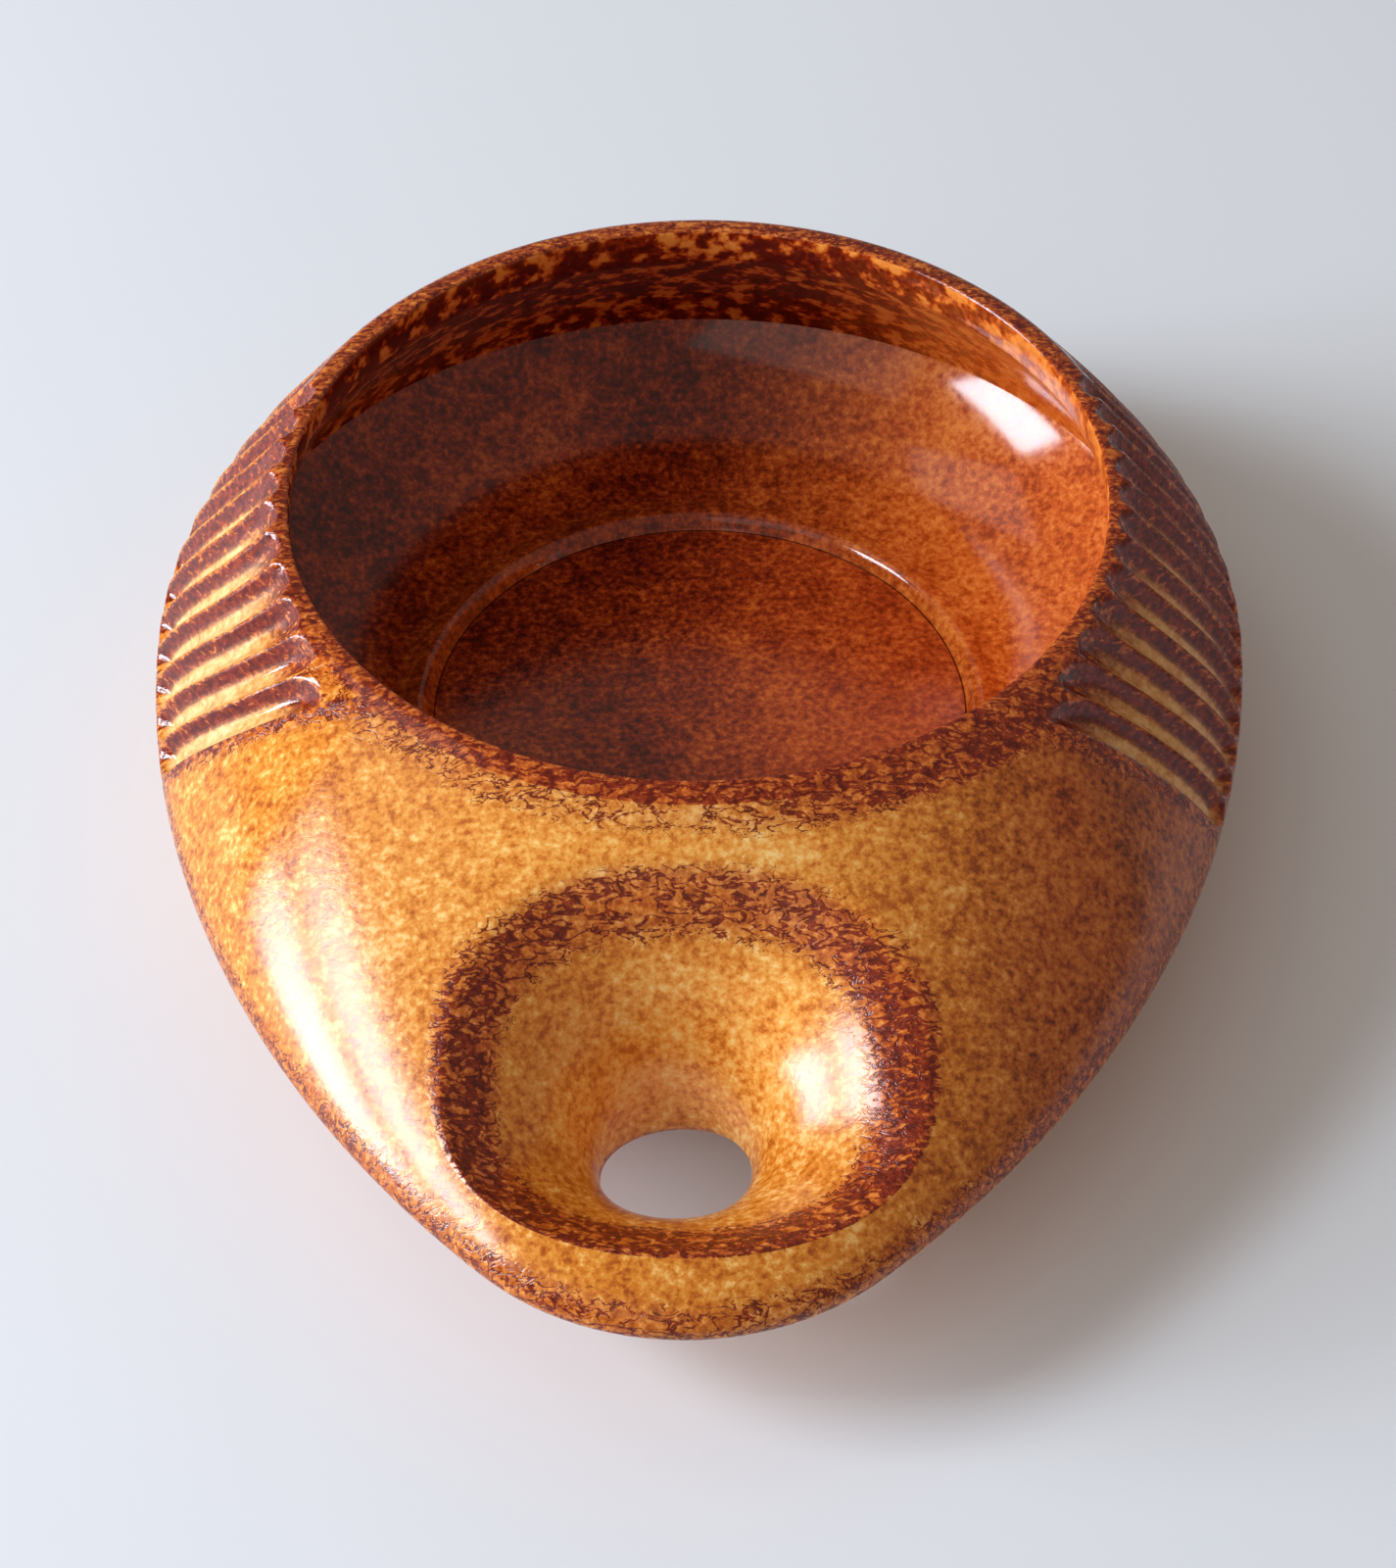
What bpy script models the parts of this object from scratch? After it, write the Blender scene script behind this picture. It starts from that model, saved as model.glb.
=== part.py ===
"""Glazed stoneware bowl with a broad lug that ends in a dished finger hole.

Metres, +Z up. The bowl stands on z = 0, the lug points along -Y, and the origin is under the
middle of the object's bounding box. Angles round the bowl run from the lug's direction (-Y).
"""

import math

import bpy
import numpy as np

# Plan outline of the belt, the widest line: a back circle about the bowl's axis, a tip circle
# about the finger hole's side of the lug, and two side arcs that touch both from outside.
BACK_RADIUS = 0.0820
TIP_RADIUS = 0.0392
TIP_REACH = 0.1328
SIDE_RADIUS = 0.170
BOWL_Y = (TIP_REACH - BACK_RADIUS) / 2

# Opening and shoulder. The shoulder is steep at the back and a long easy slope on the lug.
HEIGHT = 0.0520
OPENING_RADIUS = 0.0600
RIM_RADIUS = 0.0640
SHOULDER_TOP = 0.0515
BACK_RUN = 0.019
LUG_RUN = 0.032
BACK_SLOPE = math.radians(52)
LUG_SLOPE = math.radians(22)
BACK_HANDLES = (0.39, 0.25)
LUG_HANDLES = (0.78, 0.17)
BACK_BELT_Z = 0.0225
LUG_BELT_Z = 0.0233

# Underside, from the foot out to the belt
BACK_UNDER_RISE = 0.05
LUG_UNDER_RISE = 0.09
BACK_UNDER_FALL = 0.0080
LUG_UNDER_FALL = 0.0055

# Walls, and the rebate in the upper shell that takes the rim's bead
WALL = 0.0065
BELT_WALL = 0.0070
CEILING_STEP = 0.0010
REBATE_Z = 0.0462
REBATE_DROP = 0.0005
LIP_SETBACK = 0.0006
GAP = 0.0003

# Foot, recessed floor and the raised ring round it
FOOT_RADIUS = 0.0460
FOOT_Z = 0.0033
FOOT_RING_INNER = 0.0395
FOOT_CHAMFER = 0.0008
FLOOR_RADIUS = 0.0413
FLOOR_Z = 0.0065
FLOOR_CHAMFER = 0.0006
FLOOR_RING_Z = 0.0086
FLOOR_RING_FALL = 0.0008
FLOOR_RING_FOOT = 0.0005
FLOOR_FILLET = 0.35

# Flutes: parallel channels across each side of the shoulder. The number, the front edge and
# the sweep differ between the right side (1) and the left (-1), as hand-cut flutes do.
FLUTES = {1: 16, -1: 14}
FLUTE_PITCH = {1: 0.0061, -1: 0.0068}
FLUTE_DEPTH = 0.0018
FLUTE_FRONT_Y = {1: -0.0463, -1: -0.0440}
FLUTE_SWEEP = {1: 0.0035, -1: 0.0100}
SCOOP_START = 0.0003
SCOOP_LENGTH = 0.0055
FLUTE_END_RISE = 0.0008
FLUTE_END_LENGTH = 0.0025

# Finger hole. Its axis is a little to the left of the middle of the dish.
HOLE_X = -0.0015
HOLE_Y = -0.0980
HOLE_RADIUS = 0.0105
HOLE_LINES = 48
THROAT_Z = 0.0142
THROAT_TILT = 0.17
THROAT_FLARE = 0.0009
DISH_HALF_WIDTH = 0.0270
DISH_BACK = 0.0194
DISH_FRONT = 0.0233
SLEEVE_RADIUS = 0.0160
SLEEVE_FLARE_Z = 0.0190

# Shape of the dish's section, as shares of its run and of its fall
DISH_RUN_IN = 0.45
DISH_FALL_IN = 0.12
DISH_FALL_OUT = 0.45
DISH_WALL_RUN = 0.0015

# Fineness of the solids
PER_FLUTE = 4
LUG_LINES = 16
BACK_LINES = 8
SHELL_STEP_DEGREES = 4.0
TURN_STEPS = 72

GLAZE = (0.42, 0.13, 0.025, 1.0)
BARE_CLAY = (0.55, 0.43, 0.32, 1.0)


def mix(a, b, share):
    return a + (b - a) * share


def smooth(value):
    value = np.clip(value, 0.0, 1.0)
    return value * value * (3 - 2 * value)


def bezier(p0, p1, p2, p3, t):
    s = 1 - t
    return s**3 * p0 + 3 * s * s * t * p1 + 3 * s * t * t * p2 + t**3 * p3


def bisect(rises, target, low, high):
    """The value between low and high at which the rising function reaches the target."""
    low = np.full_like(target, low)
    high = np.full_like(target, high)
    for _ in range(40):
        middle = (low + high) / 2
        below = rises(middle) < target
        low = np.where(below, middle, low)
        high = np.where(below, high, middle)
    return (low + high) / 2


def belt_reach(angle):
    """How far the belt is from the bowl's axis, 0 being the lug's direction."""
    tip_y = TIP_RADIUS - TIP_REACH
    to_back = SIDE_RADIUS - BACK_RADIUS
    to_tip = SIDE_RADIUS - TIP_RADIUS
    side_y = (to_back**2 - to_tip**2 + tip_y**2) / (2 * tip_y)
    side_x = -math.sqrt(to_back**2 - side_y**2)

    def along_ray(x, y, radius):
        nearest = np.sin(angle) * x - np.cos(angle) * y
        inside = nearest**2 - (x * x + y * y - radius**2)
        return nearest + np.sqrt(np.maximum(inside, 0.0))

    back_touch = math.atan2(-side_x, side_y)
    tip_share = TIP_RADIUS / to_tip
    tip_touch = math.atan2(-side_x * tip_share, -(tip_y + (tip_y - side_y) * tip_share))
    beside = np.where(
        angle < back_touch, along_ray(side_x, side_y, SIDE_RADIUS), along_ray(0, 0, BACK_RADIUS)
    )
    return np.where(angle < tip_touch, along_ray(0, tip_y, TIP_RADIUS), beside)


def lug_share(angle):
    """0 where the section is the back's, 1 where it is the lug's."""
    run = belt_reach(angle) - RIM_RADIUS
    return smooth((run - BACK_RUN) / (LUG_RUN - BACK_RUN))


def belt_height(angle):
    return mix(BACK_BELT_Z, LUG_BELT_Z, lug_share(angle))


def shoulder_height(angle, radius, rim_radius, rim_z, inset):
    """Height of the shoulder's outer face, or of its inner one with the inner rim and inset."""
    share = lug_share(angle)
    belt_radius = belt_reach(angle) - inset
    belt_z = belt_height(angle)
    rim_handle = mix(BACK_HANDLES[0], LUG_HANDLES[0], share) * (belt_radius - rim_radius)
    belt_handle = mix(BACK_HANDLES[1], LUG_HANDLES[1], share) * (rim_z - belt_z)
    drop = rim_handle * np.tan(mix(BACK_SLOPE, LUG_SLOPE, share))
    radius = np.minimum(radius, belt_radius)

    def radius_at(t):
        return bezier(rim_radius, rim_radius + rim_handle, belt_radius, belt_radius, t)

    t = bisect(radius_at, radius, 0.0, 1.0)
    return bezier(rim_z, rim_z - drop, belt_z + belt_handle, belt_z, t)


def underside_height(angle, radius):
    """Height of the lower shell's outer face between the foot and the belt."""
    share = lug_share(angle)
    belt_radius = belt_reach(angle)
    belt_z = belt_height(angle)
    half_run = (belt_radius - FOOT_RADIUS) / 2
    rise = half_run * mix(BACK_UNDER_RISE, LUG_UNDER_RISE, share)
    fall = mix(BACK_UNDER_FALL, LUG_UNDER_FALL, share)

    def radius_at(t):
        return bezier(FOOT_RADIUS, FOOT_RADIUS + half_run, belt_radius, belt_radius, t)

    t = bisect(radius_at, np.clip(radius, FOOT_RADIUS, belt_radius), 0.0, 1.0)
    return bezier(FOOT_Z, FOOT_Z + rise, belt_z - fall, belt_z, t)


def polar(points_x, points_y):
    return np.arctan2(np.abs(points_x), -points_y), np.hypot(points_x, points_y)


def belt_angle_at(y):
    """The angle at which the belt has this y."""
    return bisect(lambda angle: -belt_reach(angle) * np.cos(angle), y, 0.0, math.pi)


def side_columns(side):
    """Angles at the rim and at the belt of one side's section lines, lug to back, and the
    place of each line across its flute, from 0 at one crest to 1 at the next."""
    steps = np.arange(FLUTES[side] * PER_FLUTE + 1) / PER_FLUTE
    rim_y = FLUTE_FRONT_Y[side] + steps * FLUTE_PITCH[side]
    rim = np.arccos(-rim_y / RIM_RADIUS)
    belt = belt_angle_at(rim_y + FLUTE_SWEEP[side])
    lug = (np.arange(LUG_LINES) / LUG_LINES) ** 1.2
    back = np.arange(1, BACK_LINES + 1) / BACK_LINES
    rim_angles = np.concatenate([lug * rim[0], rim, mix(rim[-1], math.pi, back)])
    belt_angles = np.concatenate([lug * belt[0], belt, mix(belt[-1], math.pi, back)])
    across = np.concatenate([np.zeros(LUG_LINES), steps % 1.0, np.zeros(BACK_LINES)])
    return rim_angles, belt_angles, across


def both_sides():
    """side_columns for the whole way round, as signed angles: right side out, left side back."""
    right = side_columns(1)
    left = side_columns(-1)
    rim = np.concatenate([right[0], -left[0][-2:0:-1]])
    belt = np.concatenate([right[1], -left[1][-2:0:-1]])
    across = np.concatenate([right[2], left[2][-2:0:-1]])
    return rim, belt, across


def shoulder_rows(columns, shares, rim_radius, rim_z, inset):
    """Points [line, row, xyz] of a shoulder face, at the given shares of each line's run."""
    rim, belt, _ = columns
    belt_radius = belt_reach(np.abs(belt)) - inset
    start = np.stack([rim_radius * np.sin(rim), -rim_radius * np.cos(rim)], -1)
    end = np.stack([belt_radius * np.sin(belt), -belt_radius * np.cos(belt)], -1)
    plan = mix(start[:, None], end[:, None], shares[None, :, None])
    angle, radius = polar(plan[..., 0], plan[..., 1])
    height = shoulder_height(angle, radius, rim_radius, rim_z, inset)
    return np.concatenate([plan, height[..., None]], -1)


def outward(points):
    """Unit normals of a grid of points whose lines close into a ring."""
    around = np.roll(points, -1, 0) - np.roll(points, 1, 0)
    down = np.gradient(points, axis=1)
    normal = np.cross(down, around)
    return normal / np.linalg.norm(normal, axis=-1, keepdims=True)


def cut_flutes(points, across):
    """Presses the flutes into the outer face: sharp crests, round floors, round upper ends."""
    place = across[:, None]
    channel = 1 - (2 * place - 1) ** 2
    from_rim = np.linalg.norm(points[..., :2] - points[:, :1, :2], axis=-1)
    scoop = smooth((from_rim - SCOOP_START) / SCOOP_LENGTH)
    angle, _ = polar(points[..., 0], points[..., 1])
    above_belt = points[..., 2] - belt_height(angle)
    ending = smooth((above_belt - FLUTE_END_RISE) / FLUTE_END_LENGTH)
    depth = FLUTE_DEPTH * channel * scoop * ending
    depth = np.where(place == 0, 0.0, depth)
    return points - outward(points) * depth[..., None]


def ring_loft(name, points):
    """A closed body through sections [line, row, xyz]: rows and lines both close on themselves."""
    lines, rows = points.shape[:2]
    faces = []
    for line in range(lines):
        following = (line + 1) % lines
        for row in range(rows):
            below = (row + 1) % rows
            corners = ((line, row), (line, below), (following, below), (following, row))
            faces.append([a * rows + b for a, b in corners])
    mesh = bpy.data.meshes.new(name)
    mesh.from_pydata(points.reshape(-1, 3).tolist(), [], faces)
    mesh.validate()
    return mesh


def add_object(name, mesh, collection, material, location):
    piece = bpy.data.objects.new(name, mesh)
    piece.location = location
    collection.objects.link(piece)
    if material:
        mesh.materials.append(material)
    return piece


def shade_round(mesh, angle=math.radians(35)):
    mesh.shade_smooth()
    mesh.set_sharp_from_angle(angle=angle)


def turned(name, profile, collection, material, ring=True):
    """A body turned about the bowl's axis: the (radius, z) profile is a closed loop for a ring,
    and otherwise runs from the axis back to the axis."""
    mesh = bpy.data.meshes.new(name)
    corners = [(radius, 0.0, z) for radius, z in profile]
    edges = [(i, i + 1) for i in range(len(corners) - 1)]
    if ring:
        edges.append((len(corners) - 1, 0))
    mesh.from_pydata(corners, edges, [])
    piece = add_object(name, mesh, collection, material, (0, BOWL_Y, 0))
    screw = piece.modifiers.new("turn", "SCREW")
    screw.steps = TURN_STEPS
    screw.render_steps = TURN_STEPS
    screw.use_merge_vertices = True
    screw.merge_threshold = 0.00001
    screw.use_smooth_shade = ring
    return piece


def cut(piece, cutter):
    boolean = piece.modifiers.new("cut", "BOOLEAN")
    boolean.operation = "DIFFERENCE"
    boolean.solver = "EXACT"
    boolean.object = cutter


def upper_shell(collection, glaze):
    """Shoulder from the rim's rebate down to the belt, hollow under the lug."""
    columns = both_sides()
    outer_shares = np.sin(np.linspace(0, 1, 10) * math.pi / 2)
    outer = shoulder_rows(columns, outer_shares, RIM_RADIUS + GAP, SHOULDER_TOP, 0.0)
    outer = cut_flutes(outer, columns[2])
    inner_shares = np.sin(np.linspace(1, 0, 5) * math.pi / 2)
    inner_rim = OPENING_RADIUS + CEILING_STEP
    rebate_z = REBATE_Z - REBATE_DROP
    inner = shoulder_rows(columns, inner_shares, inner_rim, rebate_z, BELT_WALL)
    rebate = outer[:, :1].copy()
    rebate[..., 2] = rebate_z
    for edge in (outer[:, -1], inner[:, 0]):
        edge[:, 2] += GAP / 2
    mesh = ring_loft("upper_shell", np.concatenate([outer, inner, rebate], 1))
    shade_round(mesh)
    return add_object("upper_shell", mesh, collection, glaze, (0, BOWL_Y, 0))


def lower_shell(collection, glaze):
    """Dish from the belt down to the foot, with the raised ring round the recessed floor."""
    angle = np.radians(np.arange(0, 360, SHELL_STEP_DEGREES))
    signed = np.where(angle > math.pi, angle - 2 * math.pi, angle)
    size = np.abs(signed)
    belt = belt_reach(size)
    top_z = belt_height(size) - GAP / 2
    rows = []
    for share in np.sin(np.linspace(1, 0, 9) * math.pi / 2):
        radius = mix(FOOT_RADIUS, belt, share)
        rows.append((radius, np.minimum(underside_height(size, radius), top_z)))
    inner_foot = FLOOR_RADIUS + GAP
    rows.append((np.full_like(size, inner_foot), np.full_like(size, FOOT_Z)))
    rows.append((np.full_like(size, inner_foot), np.full_like(size, FLOOR_Z + FLOOR_RING_FOOT)))
    ring_middle = (inner_foot + FOOT_RADIUS) / 2
    ring_outer = FOOT_RADIUS + FLOOR_RING_FALL
    ring_outer_z = FLOOR_RING_Z - FLOOR_RING_FALL
    rows.append((np.full_like(size, ring_middle), np.full_like(size, FLOOR_RING_Z)))
    rows.append((np.full_like(size, ring_outer), np.full_like(size, ring_outer_z)))
    for share in np.sin(np.linspace(0, 1, 6)[1:] * math.pi / 2):
        radius = mix(ring_outer, belt - BELT_WALL, share)
        lift = mix(ring_outer_z - FOOT_Z, 0.0, share)
        outer_radius = mix(FOOT_RADIUS, belt, share)
        height = underside_height(size, outer_radius) + lift
        fillet = WALL * FLOOR_FILLET * (1 - share)
        rows.append((radius, np.minimum(height + fillet, top_z)))
    points = [
        np.stack([radius * np.sin(signed), -radius * np.cos(signed), height], -1)
        for radius, height in rows
    ]
    mesh = ring_loft("lower_shell", np.stack(points, 1))
    shade_round(mesh)
    return add_object("lower_shell", mesh, collection, glaze, (0, BOWL_Y, 0))


def dish_radius(turn):
    """The dish's edge from the hole's axis, turn 0 being +Y."""
    length = np.where(np.cos(turn) > 0, DISH_BACK, DISH_FRONT)
    return 1 / np.hypot(np.sin(turn) / DISH_HALF_WIDTH, np.cos(turn) / length)


def hole_ring(turn, radius, height, centre_x):
    """Ring of points at this radius from an upright axis at centre_x and HOLE_Y."""
    x = centre_x + radius * np.sin(turn)
    y = HOLE_Y + radius * np.cos(turn)
    return np.stack([x, y, height], -1)


def plan_height(turn, radius, centre_x, height_of):
    """A shell face's height along such a ring."""
    ring = hole_ring(turn, radius, 0 * turn, centre_x)
    return height_of(*polar(ring[:, 0], ring[:, 1]))


def lug_top(angle, radius):
    return shoulder_height(angle, radius, RIM_RADIUS + GAP, SHOULDER_TOP, 0.0)


def finger_funnel(collection, glaze):
    """Dished funnel through the lug: wide slanted mouth, round throat, flared underside."""
    turn = np.linspace(0, 2 * math.pi, HOLE_LINES, endpoint=False)
    mouth = dish_radius(turn) - GAP
    mouth_z = plan_height(turn, mouth, 0.0, lug_top)
    throat_z = THROAT_Z - THROAT_TILT * HOLE_RADIUS * np.cos(turn)
    fall = mouth_z - throat_z
    run_in = mix(mouth, HOLE_RADIUS, DISH_RUN_IN)
    points = []
    for step in np.linspace(0, 1, 8):
        radius = bezier(mouth, run_in, HOLE_RADIUS + DISH_WALL_RUN, HOLE_RADIUS, step)
        second_z = mouth_z - fall * DISH_FALL_IN
        third_z = throat_z + fall * DISH_FALL_OUT
        height = bezier(mouth_z, second_z, third_z, throat_z, step)
        points.append(hole_ring(turn, radius, height, HOLE_X * smooth(2 * step)))
    hole = np.full_like(turn, HOLE_RADIUS)
    flare = hole + THROAT_FLARE
    sleeve = np.full_like(turn, SLEEVE_RADIUS)
    below = [(hole, plan_height(turn, hole, HOLE_X, underside_height) + THROAT_FLARE)]
    below.append((flare, plan_height(turn, flare, HOLE_X, underside_height)))
    below.append((sleeve, plan_height(turn, sleeve, HOLE_X, underside_height)))
    below.append((sleeve, np.full_like(turn, SLEEVE_FLARE_Z)))
    points += [hole_ring(turn, radius, height, HOLE_X) for radius, height in below]
    back_z = np.maximum(mouth_z - WALL, SLEEVE_FLARE_Z + 0.0005)
    points.append(hole_ring(turn, mouth, back_z, 0.0))
    mesh = ring_loft("finger_funnel", np.stack(points, 1))
    shade_round(mesh, math.radians(50))
    return add_object("finger_funnel", mesh, collection, glaze, (0, BOWL_Y, 0))


def funnel_cutters(collection):
    """The two openings that the funnel passes through: the dish's mouth and the sleeve's hole."""
    turn = np.linspace(0, 2 * math.pi, HOLE_LINES, endpoint=False)
    sleeve = np.full_like(turn, SLEEVE_RADIUS + GAP)
    shapes = {
        "cut_dish_mouth": (dish_radius(turn), 0.0, SLEEVE_FLARE_Z + 0.0002, HEIGHT),
        "cut_sleeve_hole": (sleeve, HOLE_X, 0.0, SLEEVE_FLARE_Z),
    }
    cutters = []
    for name, (radius, centre_x, low, high) in shapes.items():
        bottom = hole_ring(turn, radius, np.full_like(turn, low), centre_x)
        top = hole_ring(turn, radius, np.full_like(turn, high), centre_x)
        count = len(turn)
        sides = [(i, i + count, (i + 1) % count + count, (i + 1) % count) for i in range(count)]
        ends = [list(range(count)), list(range(count, 2 * count))[::-1]]
        mesh = bpy.data.meshes.new(name)
        mesh.from_pydata(np.concatenate([bottom, top]).tolist(), [], sides + ends)
        cutter = add_object(name, mesh, collection, None, (0, BOWL_Y, 0))
        cutter.hide_render = True
        cutter.display_type = "WIRE"
        cutters.append(cutter)
    return cutters


def rim_lip(collection, glaze):
    """Rounded bead round the opening, set in the upper shell's rebate."""
    middle = (OPENING_RADIUS + RIM_RADIUS) / 2
    half = (RIM_RADIUS - OPENING_RADIUS) / 2
    arc = np.linspace(0, math.pi, 7)
    crown = [(middle + half * math.cos(a), HEIGHT - half + half * math.sin(a)) for a in arc]
    foot = [(OPENING_RADIUS + LIP_SETBACK, REBATE_Z), (RIM_RADIUS, REBATE_Z)]
    return turned("rim_lip", (crown + foot)[::-1], collection, glaze)


def floor_disc(collection, glaze):
    """Recessed floor of the bowl, set inside the raised ring."""
    chamfer = [(FLOOR_RADIUS - FLOOR_CHAMFER, FLOOR_Z), (FLOOR_RADIUS, FLOOR_Z - FLOOR_CHAMFER)]
    profile = [(0.0, FLOOR_Z)] + chamfer + [(FLOOR_RADIUS, FOOT_Z), (0.0, FOOT_Z)]
    return turned("floor_disc", profile, collection, glaze, ring=False)


def foot_ring(collection, clay):
    """Bare ring that the bowl stands on."""
    top = FOOT_Z - GAP
    edge = FOOT_CHAMFER
    profile = [(FOOT_RING_INNER, top), (FOOT_RADIUS, top), (FOOT_RADIUS, edge)]
    profile += [(FOOT_RADIUS - edge, 0.0), (FOOT_RING_INNER + edge, 0.0), (FOOT_RING_INNER, edge)]
    return turned("foot_ring", profile, collection, clay)


def make_material(name, colour, roughness):
    material = bpy.data.materials.new(name)
    material.use_nodes = True
    shader = material.node_tree.nodes["Principled BSDF"]
    shader.inputs["Base Color"].default_value = colour
    shader.inputs["Roughness"].default_value = roughness
    shader.inputs["Metallic"].default_value = 0.0
    return material


def make_collection(name):
    collection = bpy.data.collections.new(name)
    bpy.context.scene.collection.children.link(collection)
    return collection


def main():
    for old in list(bpy.data.objects):
        bpy.data.objects.remove(old)
    parts = make_collection("glazed_lug_bowl")
    cutters = make_collection("cutters")
    glaze = make_material("amber_glaze", GLAZE, 0.15)
    clay = make_material("bare_clay", BARE_CLAY, 0.85)
    upper = upper_shell(parts, glaze)
    lower = lower_shell(parts, glaze)
    mouth_cutter, sleeve_cutter = funnel_cutters(cutters)
    cut(upper, mouth_cutter)
    cut(lower, sleeve_cutter)
    finger_funnel(parts, glaze)
    rim_lip(parts, glaze)
    floor_disc(parts, glaze)
    foot_ring(parts, clay)


main()
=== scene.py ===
"""Looks for the glazed lug bowl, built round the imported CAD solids.

Metres, +Z up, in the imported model's frame. The skin is worked out about the bowl's axis, with
the lug along -Y, and moved into place as it is built. Angles round the bowl run from the lug's
direction. Every glazed face belongs to one welded net, which is then parted along the joints
between the clay members, so the glaze runs smoothly from one piece to the next.
"""

import math

import bmesh
import bpy
import numpy as np
from mathutils import Matrix, Vector


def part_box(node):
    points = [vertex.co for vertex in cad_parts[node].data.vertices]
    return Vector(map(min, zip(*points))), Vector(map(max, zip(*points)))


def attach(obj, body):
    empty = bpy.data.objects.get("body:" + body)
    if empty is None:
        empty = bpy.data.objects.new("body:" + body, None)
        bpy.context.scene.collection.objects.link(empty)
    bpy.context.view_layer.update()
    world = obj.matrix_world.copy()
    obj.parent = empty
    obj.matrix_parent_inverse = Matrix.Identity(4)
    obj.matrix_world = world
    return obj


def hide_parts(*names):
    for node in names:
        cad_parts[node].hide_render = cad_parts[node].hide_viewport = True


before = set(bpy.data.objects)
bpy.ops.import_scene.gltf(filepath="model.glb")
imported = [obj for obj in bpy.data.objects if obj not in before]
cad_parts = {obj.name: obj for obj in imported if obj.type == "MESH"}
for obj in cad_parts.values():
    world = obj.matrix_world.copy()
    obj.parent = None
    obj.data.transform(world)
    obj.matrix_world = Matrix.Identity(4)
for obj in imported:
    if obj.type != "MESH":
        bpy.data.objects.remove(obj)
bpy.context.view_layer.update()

# From the frame: the bowl's axis, opening, foot and floor, and the reach of the belt
RIM_LOW, RIM_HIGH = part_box("rim_lip")
_, FOOT_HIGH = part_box("foot_ring")
_, DISC_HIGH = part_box("floor_disc")
SHELL_LOW, SHELL_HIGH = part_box("upper_shell")
BOWL_Y = (RIM_LOW[1] + RIM_HIGH[1]) / 2
HEIGHT = RIM_HIGH[2]
RIM_RADIUS = RIM_HIGH[0]
FOOT_RADIUS = FOOT_HIGH[0]
FLOOR_RADIUS = DISC_HIGH[0]
FLOOR_Z = DISC_HIGH[2]
BACK_RADIUS = SHELL_HIGH[0]
TIP_REACH = BOWL_Y - SHELL_LOW[1]

# Outline of the belt between the back circle and the tip
TIP_RADIUS = 0.0392
SIDE_RADIUS = 0.170

# Shoulder, from the rim down to the belt
SHOULDER_TOP = HEIGHT - 0.0005
BACK_RUN = 0.019
LUG_RUN = 0.032
BACK_SLOPE = math.radians(52)
LUG_SLOPE = math.radians(22)
BACK_HANDLES = (0.39, 0.25)
LUG_HANDLES = (0.78, 0.17)
BACK_BELT_Z = 0.0225
LUG_BELT_Z = 0.0233

# Underside, from the foot out to the belt
FOOT_Z = 0.0033
BACK_UNDER_RISE = 0.05
LUG_UNDER_RISE = 0.09
BACK_UNDER_FALL = 0.0080
LUG_UNDER_FALL = 0.0055

# Inner faces
OPENING_RADIUS = RIM_RADIUS - 0.004
CEILING_RADIUS = OPENING_RADIUS + 0.001
CEILING_Z = 0.0456
BELT_WALL = 0.0070
BEAD_RADIUS = 0.0468
BEAD_Z = 0.0078

# Flutes
FLUTES = {1: 16, -1: 14}
FLUTE_PITCH = {1: 0.0061, -1: 0.0068}
FLUTE_DEPTH = 0.0024
FLUTE_FRONT_Y = {1: -0.0463, -1: -0.0440}
FLUTE_SWEEP = {1: 0.0035, -1: 0.0100}
FLUTE_BOW = 0.0016
SCOOP_LENGTH = 0.0050
# How far outside the lip's edge the first flutes start. The rest start as the fourth does, but
# for the last few, which start outside it again.
SCOOP_STARTS = (0.0042, 0.0006, -0.0012, -0.0022)
LAST_START = 0.0002
LAST_FLUTES = 5
FLUTE_END_RISE = 0.0006
FLUTE_END_LENGTH = 0.0024

# Finger hole and the dish round it
HOLE_X = -0.0015
HOLE_Y = -0.0980
HOLE_RADIUS = 0.0105
THROAT_Z = 0.0142
THROAT_TILT = 0.17
FLARE_RADIUS = 0.0130
SLEEVE_RADIUS = 0.0175
THROAT_WIDENING = 0.0016
FLARE_TURN = 0.0006
DISH_HALF_WIDTH = 0.0330
DISH_BACK = 0.0280
DISH_FRONT = 0.0260
DISH_BACK_POWER = 2.6
DISH_FRONT_POWER = 2.2
DISH_WALL = 0.0030
SLEEVE_TURN = 0.0040
SLEEVE_FOOT = 0.0020

# Lip round the opening
LIP_BULGE = 0.0014
LIP_EDGE = OPENING_RADIUS + 0.0007
LIP_CREST_Z = HEIGHT + 0.0005
LIP_CREST_RUN = 0.0012
LIP_INNER_DROP = 0.0012

# Floor disc and foot ring
DISC_CENTRE = 0.0020
DISC_FLAT_FROM = 0.0060
DISC_CHAMFER = 0.0004
DISC_UNDER_RADIUS = 0.0300
DISC_SEAT_RISE = 0.0002
FOOT_WIDTH = 0.0065
FOOT_EDGE = 0.0009
FOOT_TOP_RISE = 0.0003

# Fineness of the net
PER_FLUTE = 14
BACK_LINES = 44
RIM_LINES = 64
TIP_LINES = 132
ROWS = 40
RAY_ROWS = 30
DISH_ROWS = 44
FLARE_ROWS = 12
SLEEVE_ROWS = 20
LIP_OUTER_ROWS = 12
LIP_INNER_ROWS = 7
EVENING_ROUNDS = 120
BISECTIONS = 34
WELD = 1e-6
TURNED_LINES = 192
EDGE_STEPS = 6

# The row of the dish where the funnel starts, and the lip's row where the inside starts
MOUTH_ROW = 8
INSIDE_ROW = LIP_OUTER_ROWS + 4


# ---------------------------------------------------------------- shape


def mix(a, b, share):
    return a + (b - a) * share


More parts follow.
